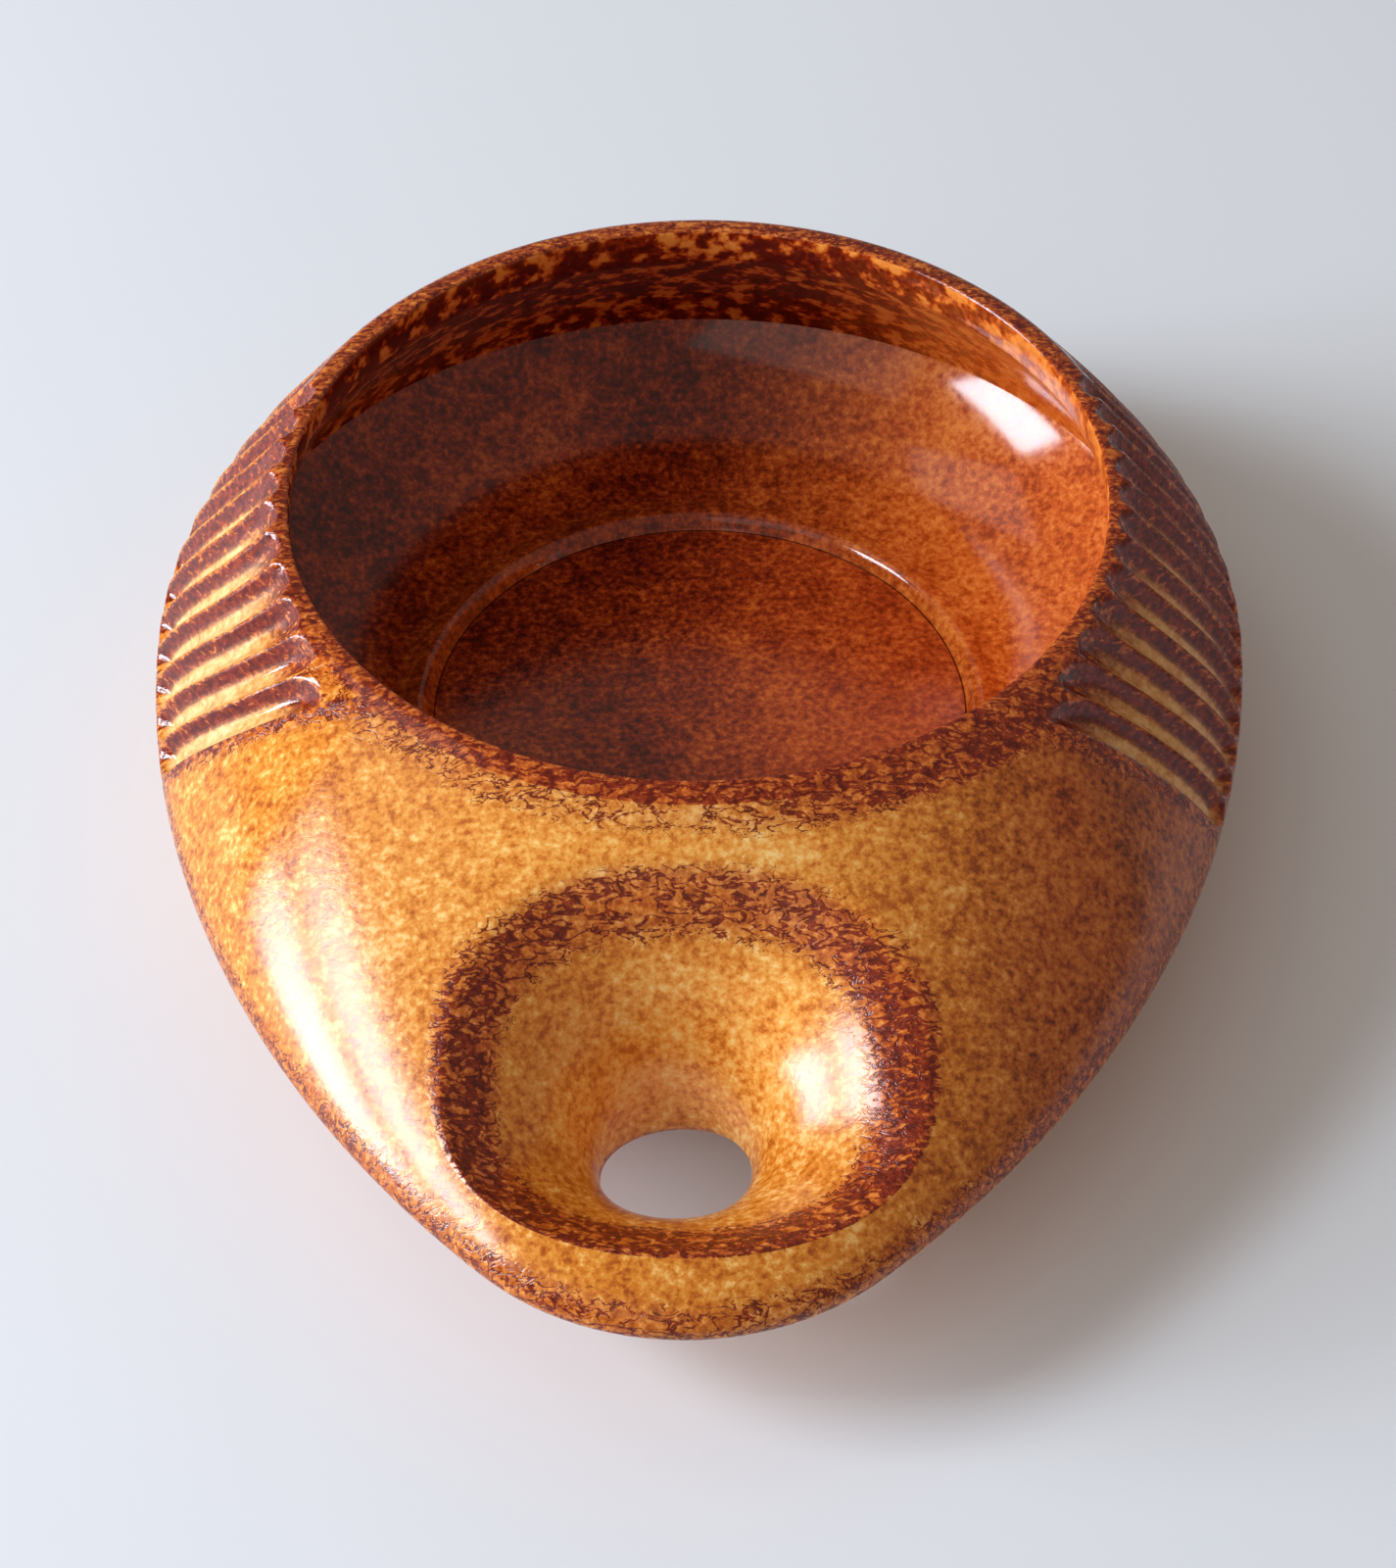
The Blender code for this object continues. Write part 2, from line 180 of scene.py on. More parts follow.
def smooth(value):
    value = np.clip(value, 0.0, 1.0)
    return value * value * (3 - 2 * value)


def near(distance, inner, outer):
    """1 up to the inner distance, falling smoothly to 0 at the outer one."""
    return 1 - smooth((distance - inner) / (outer - inner))


def bezier(p0, p1, p2, p3, t):
    s = 1 - t
    return s**3 * p0 + 3 * s * s * t * p1 + 3 * s * t * t * p2 + t**3 * p3


def bisect(rises, target, low, high):
    """The value between low and high at which the rising function reaches the target."""
    low = np.full_like(target, low)
    high = np.full_like(target, high)
    for _ in range(BISECTIONS):
        middle = (low + high) / 2
        below = rises(middle) < target
        low = np.where(below, middle, low)
        high = np.where(below, high, middle)
    return (low + high) / 2


def belt_reach(angle):
    """How far the belt is from the bowl's axis, 0 being the lug's direction."""
    tip_y = TIP_RADIUS - TIP_REACH
    to_back = SIDE_RADIUS - BACK_RADIUS
    to_tip = SIDE_RADIUS - TIP_RADIUS
    side_y = (to_back**2 - to_tip**2 + tip_y**2) / (2 * tip_y)
    side_x = -math.sqrt(to_back**2 - side_y**2)

    def along_ray(x, y, radius):
        nearest = np.sin(angle) * x - np.cos(angle) * y
        inside = nearest**2 - (x * x + y * y - radius**2)
        return nearest + np.sqrt(np.maximum(inside, 0.0))

    back_touch = math.atan2(-side_x, side_y)
    tip_share = TIP_RADIUS / to_tip
    tip_touch = math.atan2(-side_x * tip_share, -(tip_y + (tip_y - side_y) * tip_share))
    beside = np.where(
        angle < back_touch, along_ray(side_x, side_y, SIDE_RADIUS), along_ray(0, 0, BACK_RADIUS)
    )
    return np.where(angle < tip_touch, along_ray(0, tip_y, TIP_RADIUS), beside)


def lug_share(angle):
    """0 where the section is the back's, 1 where it is the lug's."""
    return smooth((belt_reach(angle) - RIM_RADIUS - BACK_RUN) / (LUG_RUN - BACK_RUN))


def belt_height(angle):
    return mix(BACK_BELT_Z, LUG_BELT_Z, lug_share(angle))


def shoulder_height(angle, radius, rim_radius, rim_z, inset, turn_share=1.0):
    """Height of the shoulder's outer face, or of its inner one with the inner rim and inset."""
    share = lug_share(angle)
    belt_radius = belt_reach(angle) - inset
    belt_z = belt_height(angle)
    rim_handle = mix(BACK_HANDLES[0], LUG_HANDLES[0], share) * (belt_radius - rim_radius)
    belt_handle = mix(BACK_HANDLES[1], LUG_HANDLES[1], share) * (rim_z - belt_z) * turn_share
    drop = rim_handle * np.tan(mix(BACK_SLOPE, LUG_SLOPE, share))
    radius = np.minimum(radius, belt_radius)

    def radius_at(t):
        return bezier(rim_radius, rim_radius + rim_handle, belt_radius, belt_radius, t)

    t = bisect(radius_at, radius, 0.0, 1.0)
    return bezier(rim_z, rim_z - drop, belt_z + belt_handle, belt_z, t)


def outer_shoulder(angle, radius):
    return shoulder_height(angle, radius, RIM_RADIUS, SHOULDER_TOP, 0.0)


def ceiling(angle, radius):
    return shoulder_height(angle, radius, CEILING_RADIUS, CEILING_Z, BELT_WALL, 0.35)


def underside(angle, radius):
    share = lug_share(angle)
    belt_radius = belt_reach(angle)
    belt_z = belt_height(angle)
    half_run = (belt_radius - FOOT_RADIUS) / 2
    rise = half_run * mix(BACK_UNDER_RISE, LUG_UNDER_RISE, share)
    fall = mix(BACK_UNDER_FALL, LUG_UNDER_FALL, share)

    def radius_at(t):
        return bezier(FOOT_RADIUS, FOOT_RADIUS + half_run, belt_radius, belt_radius, t)

    t = bisect(radius_at, np.clip(radius, FOOT_RADIUS, belt_radius), 0.0, 1.0)
    return bezier(FOOT_Z, FOOT_Z + rise, belt_z - fall, belt_z, t)


def inner_floor(angle, radius):
    """Height of the bowl's inner wall, from the raised ring out to the inside of the belt."""
    share = lug_share(angle)
    wall_radius = belt_reach(angle) - BELT_WALL
    wall_z = belt_height(angle)
    run = wall_radius - BEAD_RADIUS
    first = mix(0.45, 0.50, share) * run
    rise = mix(0.0005, 0.0090, share)
    fall = mix(0.0054, 0.0050, share)
    lean = mix(0.0047, 0.0050, share)

    def radius_at(t):
        return bezier(BEAD_RADIUS, BEAD_RADIUS + first, wall_radius - lean, wall_radius, t)

    t = bisect(radius_at, np.clip(radius, BEAD_RADIUS, wall_radius), 0.0, 1.0)
    return bezier(BEAD_Z, BEAD_Z + rise, wall_z - fall, wall_z, t)


def polar(plan):
    return np.arctan2(np.abs(plan[..., 0]), -plan[..., 1]), np.hypot(plan[..., 0], plan[..., 1])


def lifted(plan, height_of):
    return np.concatenate([plan, height_of(*polar(plan))[..., None]], -1)


# ---------------------------------------------------------------- lines of the net


def belt_angle_at(y):
    return bisect(lambda angle: -belt_reach(angle) * np.cos(angle), y, 0.0, math.pi)


def side_lines(side):
    """Angles at the rim and at the belt of one side's lines, front flute to back, the place of
    each line across its flute, from 0 at one crest to 1 at the next, and how far outside the
    lip's outer edge its flute starts."""
    steps = np.arange(FLUTES[side] * PER_FLUTE + 1) / PER_FLUTE
    rim_y = FLUTE_FRONT_Y[side] + steps * FLUTE_PITCH[side]
    rim = np.arccos(-rim_y / RIM_RADIUS)
    belt = belt_angle_at(rim_y + FLUTE_SWEEP[side])
    back = np.arange(1, BACK_LINES + 1) / BACK_LINES
    rim = np.concatenate([rim, mix(rim[-1], math.pi, back)])
    belt = np.concatenate([belt, mix(belt[-1], math.pi, back)])
    number = np.concatenate([np.floor(steps), np.full(BACK_LINES, FLUTES[side])]).astype(int)
    start = np.array(SCOOP_STARTS)[np.minimum(number, len(SCOOP_STARTS) - 1)]
    start = np.where(number > FLUTES[side] - LAST_FLUTES, LAST_START, start)
    return rim, belt, np.concatenate([steps % 1.0, np.zeros(BACK_LINES)]), start


RIGHT = side_lines(1)
LEFT = side_lines(-1)
AROUND_RIM = np.concatenate([RIGHT[0], -LEFT[0][-2::-1]])
AROUND_BELT = np.concatenate([RIGHT[1], -LEFT[1][-2::-1]])
ACROSS = np.concatenate([RIGHT[2], LEFT[2][-2::-1]])
SCOOP_START = np.concatenate([RIGHT[3], LEFT[3][-2::-1]])
LUG_RIM = mix(-LEFT[0][0], RIGHT[0][0], np.linspace(0, 1, RIM_LINES + 1))
LUG_BELT = mix(-LEFT[1][0], RIGHT[1][0], np.linspace(0, 1, TIP_LINES + 1))
FULL_RING = np.concatenate([AROUND_RIM, LUG_RIM[1:-1]])
ROW_SHARES = np.sin(np.linspace(0, 1, ROWS + 1) * math.pi / 2)


def on_circle(angle, radius):
    return np.stack([radius * np.sin(angle), -radius * np.cos(angle)], -1)


def line_plan(inner_radius, inset):
    """Plan points [line, row, xy] of the lines over the sides and back."""
    start = on_circle(AROUND_RIM, inner_radius)
    end = on_circle(AROUND_BELT, belt_reach(np.abs(AROUND_BELT)) - inset)
    plan = mix(start[:, None], end[:, None], ROW_SHARES[None, :, None])
    bowed = near(np.abs(AROUND_RIM + 1.5), 0.75, 1.40)[:, None] * ROW_SHARES * (1 - ROW_SHARES)
    plan[..., 1] -= 4 * FLUTE_BOW * bowed
    return plan


def lug_boundary(inner_radius, inset):
    """Closed loop round the lug's region: opening, right flute line, belt, left flute line."""
    lines = line_plan(inner_radius, inset)
    opening = on_circle(LUG_RIM, inner_radius)
    belt = on_circle(LUG_BELT, belt_reach(np.abs(LUG_BELT)) - inset)[::-1]
    return np.concatenate([opening[:-1], lines[0][:-1], belt[:-1], lines[-1][::-1][:-1]])


def ray_turns():
    """Turn round the hole's axis of each ray, 0 being +Y, unwrapped and evened out."""
    loop = lug_boundary(RIM_RADIUS, 0.0) - np.array([0.0, HOLE_Y])
    true = np.unwrap(np.arctan2(loop[:, 0], loop[:, 1]))
    even = true[0] + 2 * math.pi * np.sign(true[-1] - true[0]) * np.arange(len(true)) / len(true)
    return mix(true, even, 0.5)


TURNS = ray_turns()
NEAR_BELT = np.concatenate(
    [np.zeros(RIM_LINES), np.linspace(0, 1, ROWS), np.ones(TIP_LINES), np.linspace(1, 0, ROWS)]
)


def hole_loop(radius):
    """Plan points of a loop round the hole's axis, on the rays."""
    return np.stack([radius * np.sin(TURNS), HOLE_Y + radius * np.cos(TURNS)], -1)


def dish_edge():
    """Where the dish leaves the shoulder, from the hole's axis on each ray."""
    back = np.cos(TURNS) > 0
    length = np.where(back, DISH_BACK, DISH_FRONT)
    power = np.where(back, DISH_BACK_POWER, DISH_FRONT_POWER)
    across = (np.abs(np.sin(TURNS)) / DISH_HALF_WIDTH) ** power
    along = (np.abs(np.cos(TURNS)) / length) ** power
    return (across + along) ** (-1 / power)


def lug_plan(inner_radius, inset, radius):
    """Plan points [ray, row, xy] from the boundary of the lug's region in to a loop round the
    hole, evened out by averaging with the points beside them."""
    boundary = lug_boundary(inner_radius, inset)
    share = np.linspace(0, 1, RAY_ROWS + 1)[None, :] ** (1 + 0.8 * NEAR_BELT[:, None])
    plan = mix(boundary[:, None], hole_loop(radius)[:, None], share[..., None])
    before = (share[:, 1:-1] - share[:, :-2])[..., None]
    after = (share[:, 2:] - share[:, 1:-1])[..., None]
    sideways = (2.0 * share * (1 - share))[:, 1:-1, None]
    for _ in range(EVENING_ROUNDS):
        along = (after * plan[:, :-2] + before * plan[:, 2:]) / (before + after)
        beside = (np.roll(plan, 1, 0) + np.roll(plan, -1, 0))[:, 1:-1] / 2
        plan[:, 1:-1] = mix(along, beside, sideways)
    return plan


# ---------------------------------------------------------------- faces of the skin


def outward(points):
    down = np.gradient(points, axis=1)
    around = np.gradient(points, axis=0)
    normal = np.cross(down, around)
    return normal / np.linalg.norm(normal, axis=-1, keepdims=True)


def flute_cut(from_rim, above_belt):
    """How deep the flutes are at these distances along the lines, as a share of the depth."""
    plunge = 1 - np.clip((from_rim - SCOOP_START[:, None]) / SCOOP_LENGTH, 0, 1)
    scoop = np.sqrt(1 - plunge**2)
    ending = smooth((above_belt - FLUTE_END_RISE) / FLUTE_END_LENGTH)
    ridge = (2 * ACROSS[:, None] - 1) ** 2
    cut = np.maximum(scoop * ending - ridge, 0.0)
    return np.where(ACROSS[:, None] == 0, 0.0, cut)


def fluted_sides():
    """The shoulder over the sides and back with its flutes, how deep each point lies in one, and
    how far it is from the rim."""
    points = lifted(line_plan(RIM_RADIUS, 0.0), outer_shoulder)
    from_rim = np.linalg.norm(points[..., :2] - points[:, :1, :2], axis=-1)
    angle, _ = polar(points)
    cut = flute_cut(from_rim, points[..., 2] - belt_height(angle))
    points = points - outward(points) * FLUTE_DEPTH * cut[..., None]
    return points, cut, np.linalg.norm(points[..., :2] - points[:, :1, :2], axis=-1)


def loops_at(radii, heights):
    """Loops round the hole's axis [ray, row, xyz], one for each row of radii and heights."""
    loops = [np.concatenate([hole_loop(r), h[:, None]], 1) for r, h in zip(radii, heights)]
    return np.stack(loops, 1)


def dish_rows():
    """The dish and throat [ray, row, xyz], from the shoulder to the flare under the lug. Both
    ends lie round the dish's axis, and the rows between them shift to the hole's."""
    edge = dish_edge()
    start = lifted(hole_loop(edge), outer_shoulder)[:, 2]
    inner = lifted(hole_loop(edge - 0.001), outer_shoulder)[:, 2]
    tangent = (inner - start) / 0.001
    reach = mix(0.0014, 0.0060, smooth(np.cos(TURNS) + 0.5))
    second_z = start + tangent * reach
    throat_z = THROAT_Z - THROAT_TILT * HOLE_RADIUS * np.cos(TURNS)
    third_z = mix(throat_z, second_z, 0.52)
    t = np.linspace(0, 1, DISH_ROWS + 1)[:, None]
    radii = bezier(edge, edge - reach, HOLE_RADIUS + THROAT_WIDENING, HOLE_RADIUS, t)
    heights = bezier(start, second_z, third_z, throat_z, t)
    below = lifted(hole_loop(FLARE_RADIUS + 0 * TURNS), underside)[:, 2]
    t = np.linspace(0, 1, FLARE_ROWS + 1)[1:, None]
    straight = mix(throat_z, below, 0.35)
    flare_radii = bezier(HOLE_RADIUS, HOLE_RADIUS, HOLE_RADIUS + FLARE_TURN, FLARE_RADIUS, t)
    flare_heights = bezier(throat_z, straight, below + FLARE_TURN, below, t)
    radii = np.concatenate([radii, flare_radii + 0 * below])
    heights = np.concatenate([heights, flare_heights])
    rows = loops_at(radii, heights)
    place = np.arange(rows.shape[1])
    rows[..., 0] += HOLE_X * smooth(np.minimum(place, place[::-1]) / FLARE_ROWS)
    return rows


def sleeve_rows():
    """The funnel's outer face inside the lug, from the ceiling to the floor."""
    top_radius = dish_edge() - DISH_WALL
    foot_radius = SLEEVE_RADIUS + SLEEVE_FOOT
    top = lifted(hole_loop(top_radius), ceiling)[:, 2]
    foot = lifted(hole_loop(foot_radius + 0 * TURNS), inner_floor)[:, 2]
    t = np.linspace(0, 1, SLEEVE_ROWS + 1)[:, None]
    radii = bezier(top_radius, top_radius - SLEEVE_TURN, SLEEVE_RADIUS, foot_radius, t)
    heights = bezier(top, top - SLEEVE_TURN / 2, mix(foot, top, 0.3), foot, t)
    return loops_at(radii, heights)


def turned_rows(profile, angles):
    """Rings [line, row, xyz] about the bowl's axis, one for each (radius, z) given."""
    rows = []
    for radius, height in profile:
        plan = on_circle(angles, radius + 0 * angles)
        rows.append(np.concatenate([plan, (height + 0 * angles)[:, None]], 1))
    return np.stack(rows, 1)


def lip_rows():
    """The bead round the opening, from the top of the shoulder to the top of the ceiling."""
    slope = mix(BACK_SLOPE, LUG_SLOPE, lug_share(np.abs(FULL_RING)))
    bulge_radius = RIM_RADIUS - LIP_BULGE * np.cos(slope)
    bulge_z = SHOULDER_TOP + LIP_BULGE * np.sin(slope)
    inner_z = LIP_CREST_Z - LIP_INNER_DROP
    profile = []
    for t in np.linspace(0, 1, LIP_OUTER_ROWS + 1):
        radius = bezier(RIM_RADIUS, bulge_radius, LIP_EDGE + LIP_CREST_RUN, LIP_EDGE, t)
        profile.append((radius, bezier(SHOULDER_TOP, bulge_z, LIP_CREST_Z - 0.0001, LIP_CREST_Z, t)))
    for t in np.linspace(0, 1, LIP_INNER_ROWS + 1)[1:]:
        radius = bezier(LIP_EDGE, LIP_EDGE - 0.0005, OPENING_RADIUS, OPENING_RADIUS, t)
        profile.append((radius, bezier(LIP_CREST_Z, LIP_CREST_Z, LIP_CREST_Z - 0.0004, inner_z, t)))
    for t in np.linspace(0, 1, LIP_INNER_ROWS + 1)[1:]:
        radius = mix(OPENING_RADIUS, CEILING_RADIUS, t * t)
        profile.append((radius, mix(inner_z, CEILING_Z, t)))
    return turned_rows(profile, FULL_RING)


def fluted_lip(outer_loop):
    """The lip with the flutes' upper ends cut into it, and how deep each point lies in one."""
    lip = lip_rows()
    lines = len(AROUND_RIM)
    from_rim = polar(lip[:lines])[1] - RIM_RADIUS
    cut = np.zeros(lip.shape[:2])
    cut[:lines] = flute_cut(from_rim, lip[:lines, :, 2])
    cut[:, LIP_OUTER_ROWS:] = 0
    lip = lip + outward(lip) * FLUTE_DEPTH * cut[..., None]
    lip[:lines, 0] = outer_loop
    return lip, cut


# The raised ring round the floor, from the wall over its crest to the floor disc
BEAD = [
    (BEAD_RADIUS, BEAD_Z), (0.0461, 0.00792), (0.0453, 0.00815), (0.0445, 0.00838), (0.0437, 0.0085),
    (0.0430, 0.00842), (0.0424, 0.0080), (0.04195, 0.0074), (0.0416, 0.0069), (0.0412, 0.0064),
]


# ---------------------------------------------------------------- pieces of the skin

PIECES = ("upper_shell", "lower_shell", "finger_funnel", "rim_lip")
MARKS = ("break_and_shade", "pool", "inside", "wet", "warm_and_side_shading", "pale")


class Skin:
    """Quads of each piece, with marks for the glaze at each point."""

    def __init__(self):
        self.points = {name: [] for name in PIECES}
        self.marks = {name: [] for name in PIECES}
        self.quads = {name: [] for name in PIECES}
        self.shown = {name: [] for name in PIECES}
        self.count = {name: 0 for name in PIECES}

    def grid(self, piece, points, marks=None, closed=True, shown=True):
        """points [line, row, xyz], whose lines close into a ring if closed."""
        lines, rows = points.shape[:2]
        index = np.arange(lines * rows).reshape(lines, rows) + self.count[piece]
        if closed:
            index = np.concatenate([index, index[:1]])
        quads = np.stack([index[:-1, :-1], index[:-1, 1:], index[1:, 1:], index[1:, :-1]], -1)
        self.points[piece].append(points.reshape(-1, 3))
        values = np.zeros((lines, rows, len(MARKS)))
        for name, value in (marks or {}).items():
            values[..., MARKS.index(name)] = value
        self.marks[piece].append(values.reshape(-1, len(MARKS)))
        self.quads[piece].append(quads.reshape(-1, 4))
        self.shown[piece].append(np.full(len(quads.reshape(-1, 4)), shown))
        self.count[piece] += lines * rows

    def joint(self, piece, one, other, closed=True):
        """A strip between two loops, where this piece meets its neighbour."""
        self.grid(piece, np.stack([one, other], 1), closed=closed, shown=False)


# ---------------------------------------------------------------- marks for the glaze

# 1 on the rays that run back from the hole and 0 on those in front, and how dark the dish's
# crest is on each
BACKWARD = smooth(np.cos(TURNS))[:, None]
DISH_BREAK = mix(0.90, 0.60, BACKWARD)


def edge_break(points):
    """How thin the glaze runs by the opening and by the belt."""
    angle, radius = polar(points)
    share = lug_share(angle)
    from_rim = radius - RIM_RADIUS
    strength = 0.44 + 0.54 * smooth(points[..., 0] / 0.045)
    rim = strength * near(from_rim, mix(0.0005, 0.0020, share), mix(0.0040, 0.0068, share))
    above = points[..., 2] - belt_height(angle)
    belt = 0.50 * near(np.abs(above - 0.0008), 0.0012, 0.0040)
    return np.maximum(rim, belt)


def lug_break(points):
    """How thin the glaze runs over the lug: as by any edge, and in front of the first flutes."""
    angle, radius = polar(points)
    right = points[..., 0] > 0
    from_rim = radius - RIM_RADIUS
    to_belt = belt_reach(angle) - radius
    run = np.clip(from_rim / np.maximum(from_rim + to_belt, 1e-6), 0, 1)
    line = np.where(right, FLUTE_FRONT_Y[1], FLUTE_FRONT_Y[-1])
    front = line + np.where(right, FLUTE_SWEEP[1], FLUTE_SWEEP[-1]) * run
    flute = near(front - points[..., 1], 0.0005, mix(0.0075, 0.0042, run))
    return np.maximum(edge_break(points), 0.75 * flute)


def right_tint_and_shading(points):
    """How far to the right a point lies. Outside, it paints the amber redder and darker, part glaze colour
    and part painted shade on the side turned from the lamps; inside, it adds painted light.
    """
    return smooth((points[..., 0] - 0.012) / 0.048)


def flute_marks(across, along, cut, broken):
    """Cream pools on a flute's floor from a little way down it; its back wall is dark to the crest,
    part thin glaze and part painted shade; along is the distance from the flute's upper end."""
    deep = smooth(cut * 3)
    # The back wall's dark reaches further than the near wall's: part thin glaze, part painted shade.
    wall = smooth((across - 0.62) / 0.16) + near(across, 0.04, 0.22)
    wall = np.maximum(wall, 0.75 * near(along, 0.0025, 0.0085))
    floor = near(np.abs(across - 0.47), 0.15, 0.28)
    # Painted shade, in part: the back wall's dark is pushed past full strength.
    wall = 1.5 * smooth((cut + 0.10) * 4) * wall * np.sign(across)
    return {
        "break_and_shade": np.maximum(broken * (1 - 0.5 * deep), wall),
        "pool": floor * smooth((cut - 0.40) / 0.35) * smooth((along - 0.0020) / 0.0085),
        "wet": np.where(across > 0, 1.0, 0.3) + 0 * cut,
    }


def inner_painted_light(points):
    """Painted light: the inside is painted brighter and more orange towards the right, where the lamps
    light it.
    """
    return smooth((points[..., 0] + 0.010) / 0.060)


def dish_marks(dish):
    """Dark round the crest of the dish and round the turn under the hole; painted light on its far wall,
    which is painted paler; redder and darker to the right, part glaze colour and part painted shade.
    """
    steps = np.linalg.norm(np.diff(dish, axis=1, prepend=dish[:, :1]), axis=-1)
    inward = np.cumsum(steps, 1)
    band = near(inward, mix(0.0050, 0.0095, BACKWARD), mix(0.0112, 0.0155, BACKWARD))
    band = DISH_BREAK * band * mix(1.0, smooth(inward / 0.0045), BACKWARD)
    throat = inward[:, DISH_ROWS + 8 : DISH_ROWS + 9]
    under = near(np.abs(inward - throat), 0.0005, 0.0025)
    far_wall = smooth(0.5 + np.cos(TURNS + 0.25))[:, None]
    # Painted light: the dish's far wall is painted paler.
    pale = (0.26 + 0.5 * smooth((inward - 0.012) / 0.010)) * far_wall * near(inward, 0.034, 0.048)
    return {"break_and_shade": np.maximum(band, 0.5 * under), "pale": pale, "warm_and_side_shading": right_tint_and_shading(dish)}


def lug_marks(lug):
    """Dark by the edges, the flutes and the front of the dish; painted light over the middle, which is
    painted paler; redder and darker to the right, part glaze colour and part painted shade.
    """
    off_edge = np.linalg.norm(lug[..., :2] - np.array([0, HOLE_Y]), axis=-1) - dish_edge()[:, None]
    dish_front = DISH_BREAK * mix(near(off_edge, -0.003, 0.0016), 0.0, BACKWARD)
    middle = near(np.abs(lug[..., 0] + 0.006), 0.020, 0.050)
    # Painted light: the middle of the lug's top is painted paler.
    pale = 0.45 * middle * smooth((lug[..., 1] - HOLE_Y) / 0.030)
    return {"break_and_shade": np.maximum(lug_break(lug), dish_front), "warm_and_side_shading": right_tint_and_shading(lug), "pale": pale}


def lip_marks(lip, cut):
    """The flutes' ends on the lip's outer face, and the bowl's inner glaze on its inner one."""
    on_lug = np.zeros(len(LUG_RIM) - 2)
    across = np.concatenate([ACROSS, on_lug])[:, None]
    start = np.concatenate([SCOOP_START, on_lug])[:, None]
    inside = 1.0 * (np.arange(lip.shape[1])[None, :] >= INSIDE_ROW)
    outside_break = mix(0.62, 0.72, lug_share(np.abs(FULL_RING))[:, None])
    broken = np.maximum(outside_break * (1 - inside), inside)
    marks = flute_marks(across, polar(lip)[1] - RIM_RADIUS - start, cut, broken)
    # Outside, the lip is redder all round and more so to the right, part glaze colour and part painted
    # shade; inside, painted light brightens it to the right.
    warm_and_side_shading = mix(np.maximum(right_tint_and_shading(lip), 0.65), 0.7 * right_tint_and_shading(lip), inside)
    marks.update({"inside": inside, "wet": 0.8, "warm_and_side_shading": warm_and_side_shading})
    return marks


# ---------------------------------------------------------------- assembly of the pieces


def lay_shoulder(skin, sides, cut, from_rim):
    along = from_rim - SCOOP_START[:, None]
    marks = flute_marks(ACROSS[:, None], along, cut, edge_break(sides))
    # Redder, darker amber to the right: part glaze colour, part painted shade.
    marks["warm_and_side_shading"] = right_tint_and_shading(sides)
    skin.grid("upper_shell", sides, marks, closed=False)
    lug = lifted(lug_plan(RIM_RADIUS, 0.0, dish_edge()), outer_shoulder)
    skin.grid("upper_shell", lug, lug_marks(lug))


def lay_dish(skin, dish):
    marks = dish_marks(dish)
    above, below = slice(0, MOUTH_ROW + 1), slice(MOUTH_ROW, None)
    for piece, rows in (("upper_shell", above), ("finger_funnel", below)):
        skin.grid(piece, dish[:, rows], {name: value[:, rows] for name, value in marks.items()})


def lay_ceiling(skin, roof_sides):
    roof_lug = lifted(lug_plan(CEILING_RADIUS, BELT_WALL, dish_edge() - DISH_WALL), ceiling)
    for roof, closed in ((roof_sides, False), (roof_lug, True)):
        # Painted light: the ceiling is painted brighter towards the right.
        marks = {"inside": 1.0, "break_and_shade": 1.0, "warm_and_side_shading": right_tint_and_shading(roof)}
        skin.grid("upper_shell", roof, marks, closed=closed)


def lay_inner_wall(skin):
    sleeve_foot = SLEEVE_RADIUS + SLEEVE_FOOT + 0 * TURNS
    wall_sides = lifted(line_plan(BEAD_RADIUS, BELT_WALL), inner_floor)
    wall_lug = lifted(lug_plan(BEAD_RADIUS, BELT_WALL, sleeve_foot), inner_floor)
    for wall, closed in ((wall_sides, False), (wall_lug, True)):
        # Painted light: the inner wall is painted brighter towards the right.
        skin.grid("lower_shell", wall, {"inside": 1.0, "warm_and_side_shading": inner_painted_light(wall)}, closed=closed)


def lay_underside(skin):
    under_sides = lifted(line_plan(FOOT_RADIUS, 0.0), underside)
    under_lug = lifted(lug_plan(FOOT_RADIUS, 0.0, FLARE_RADIUS + 0 * TURNS), underside)
    skin.grid("lower_shell", under_sides, {"break_and_shade": edge_break(under_sides)}, closed=False)
    skin.grid("lower_shell", under_lug, {"break_and_shade": edge_break(under_lug)})


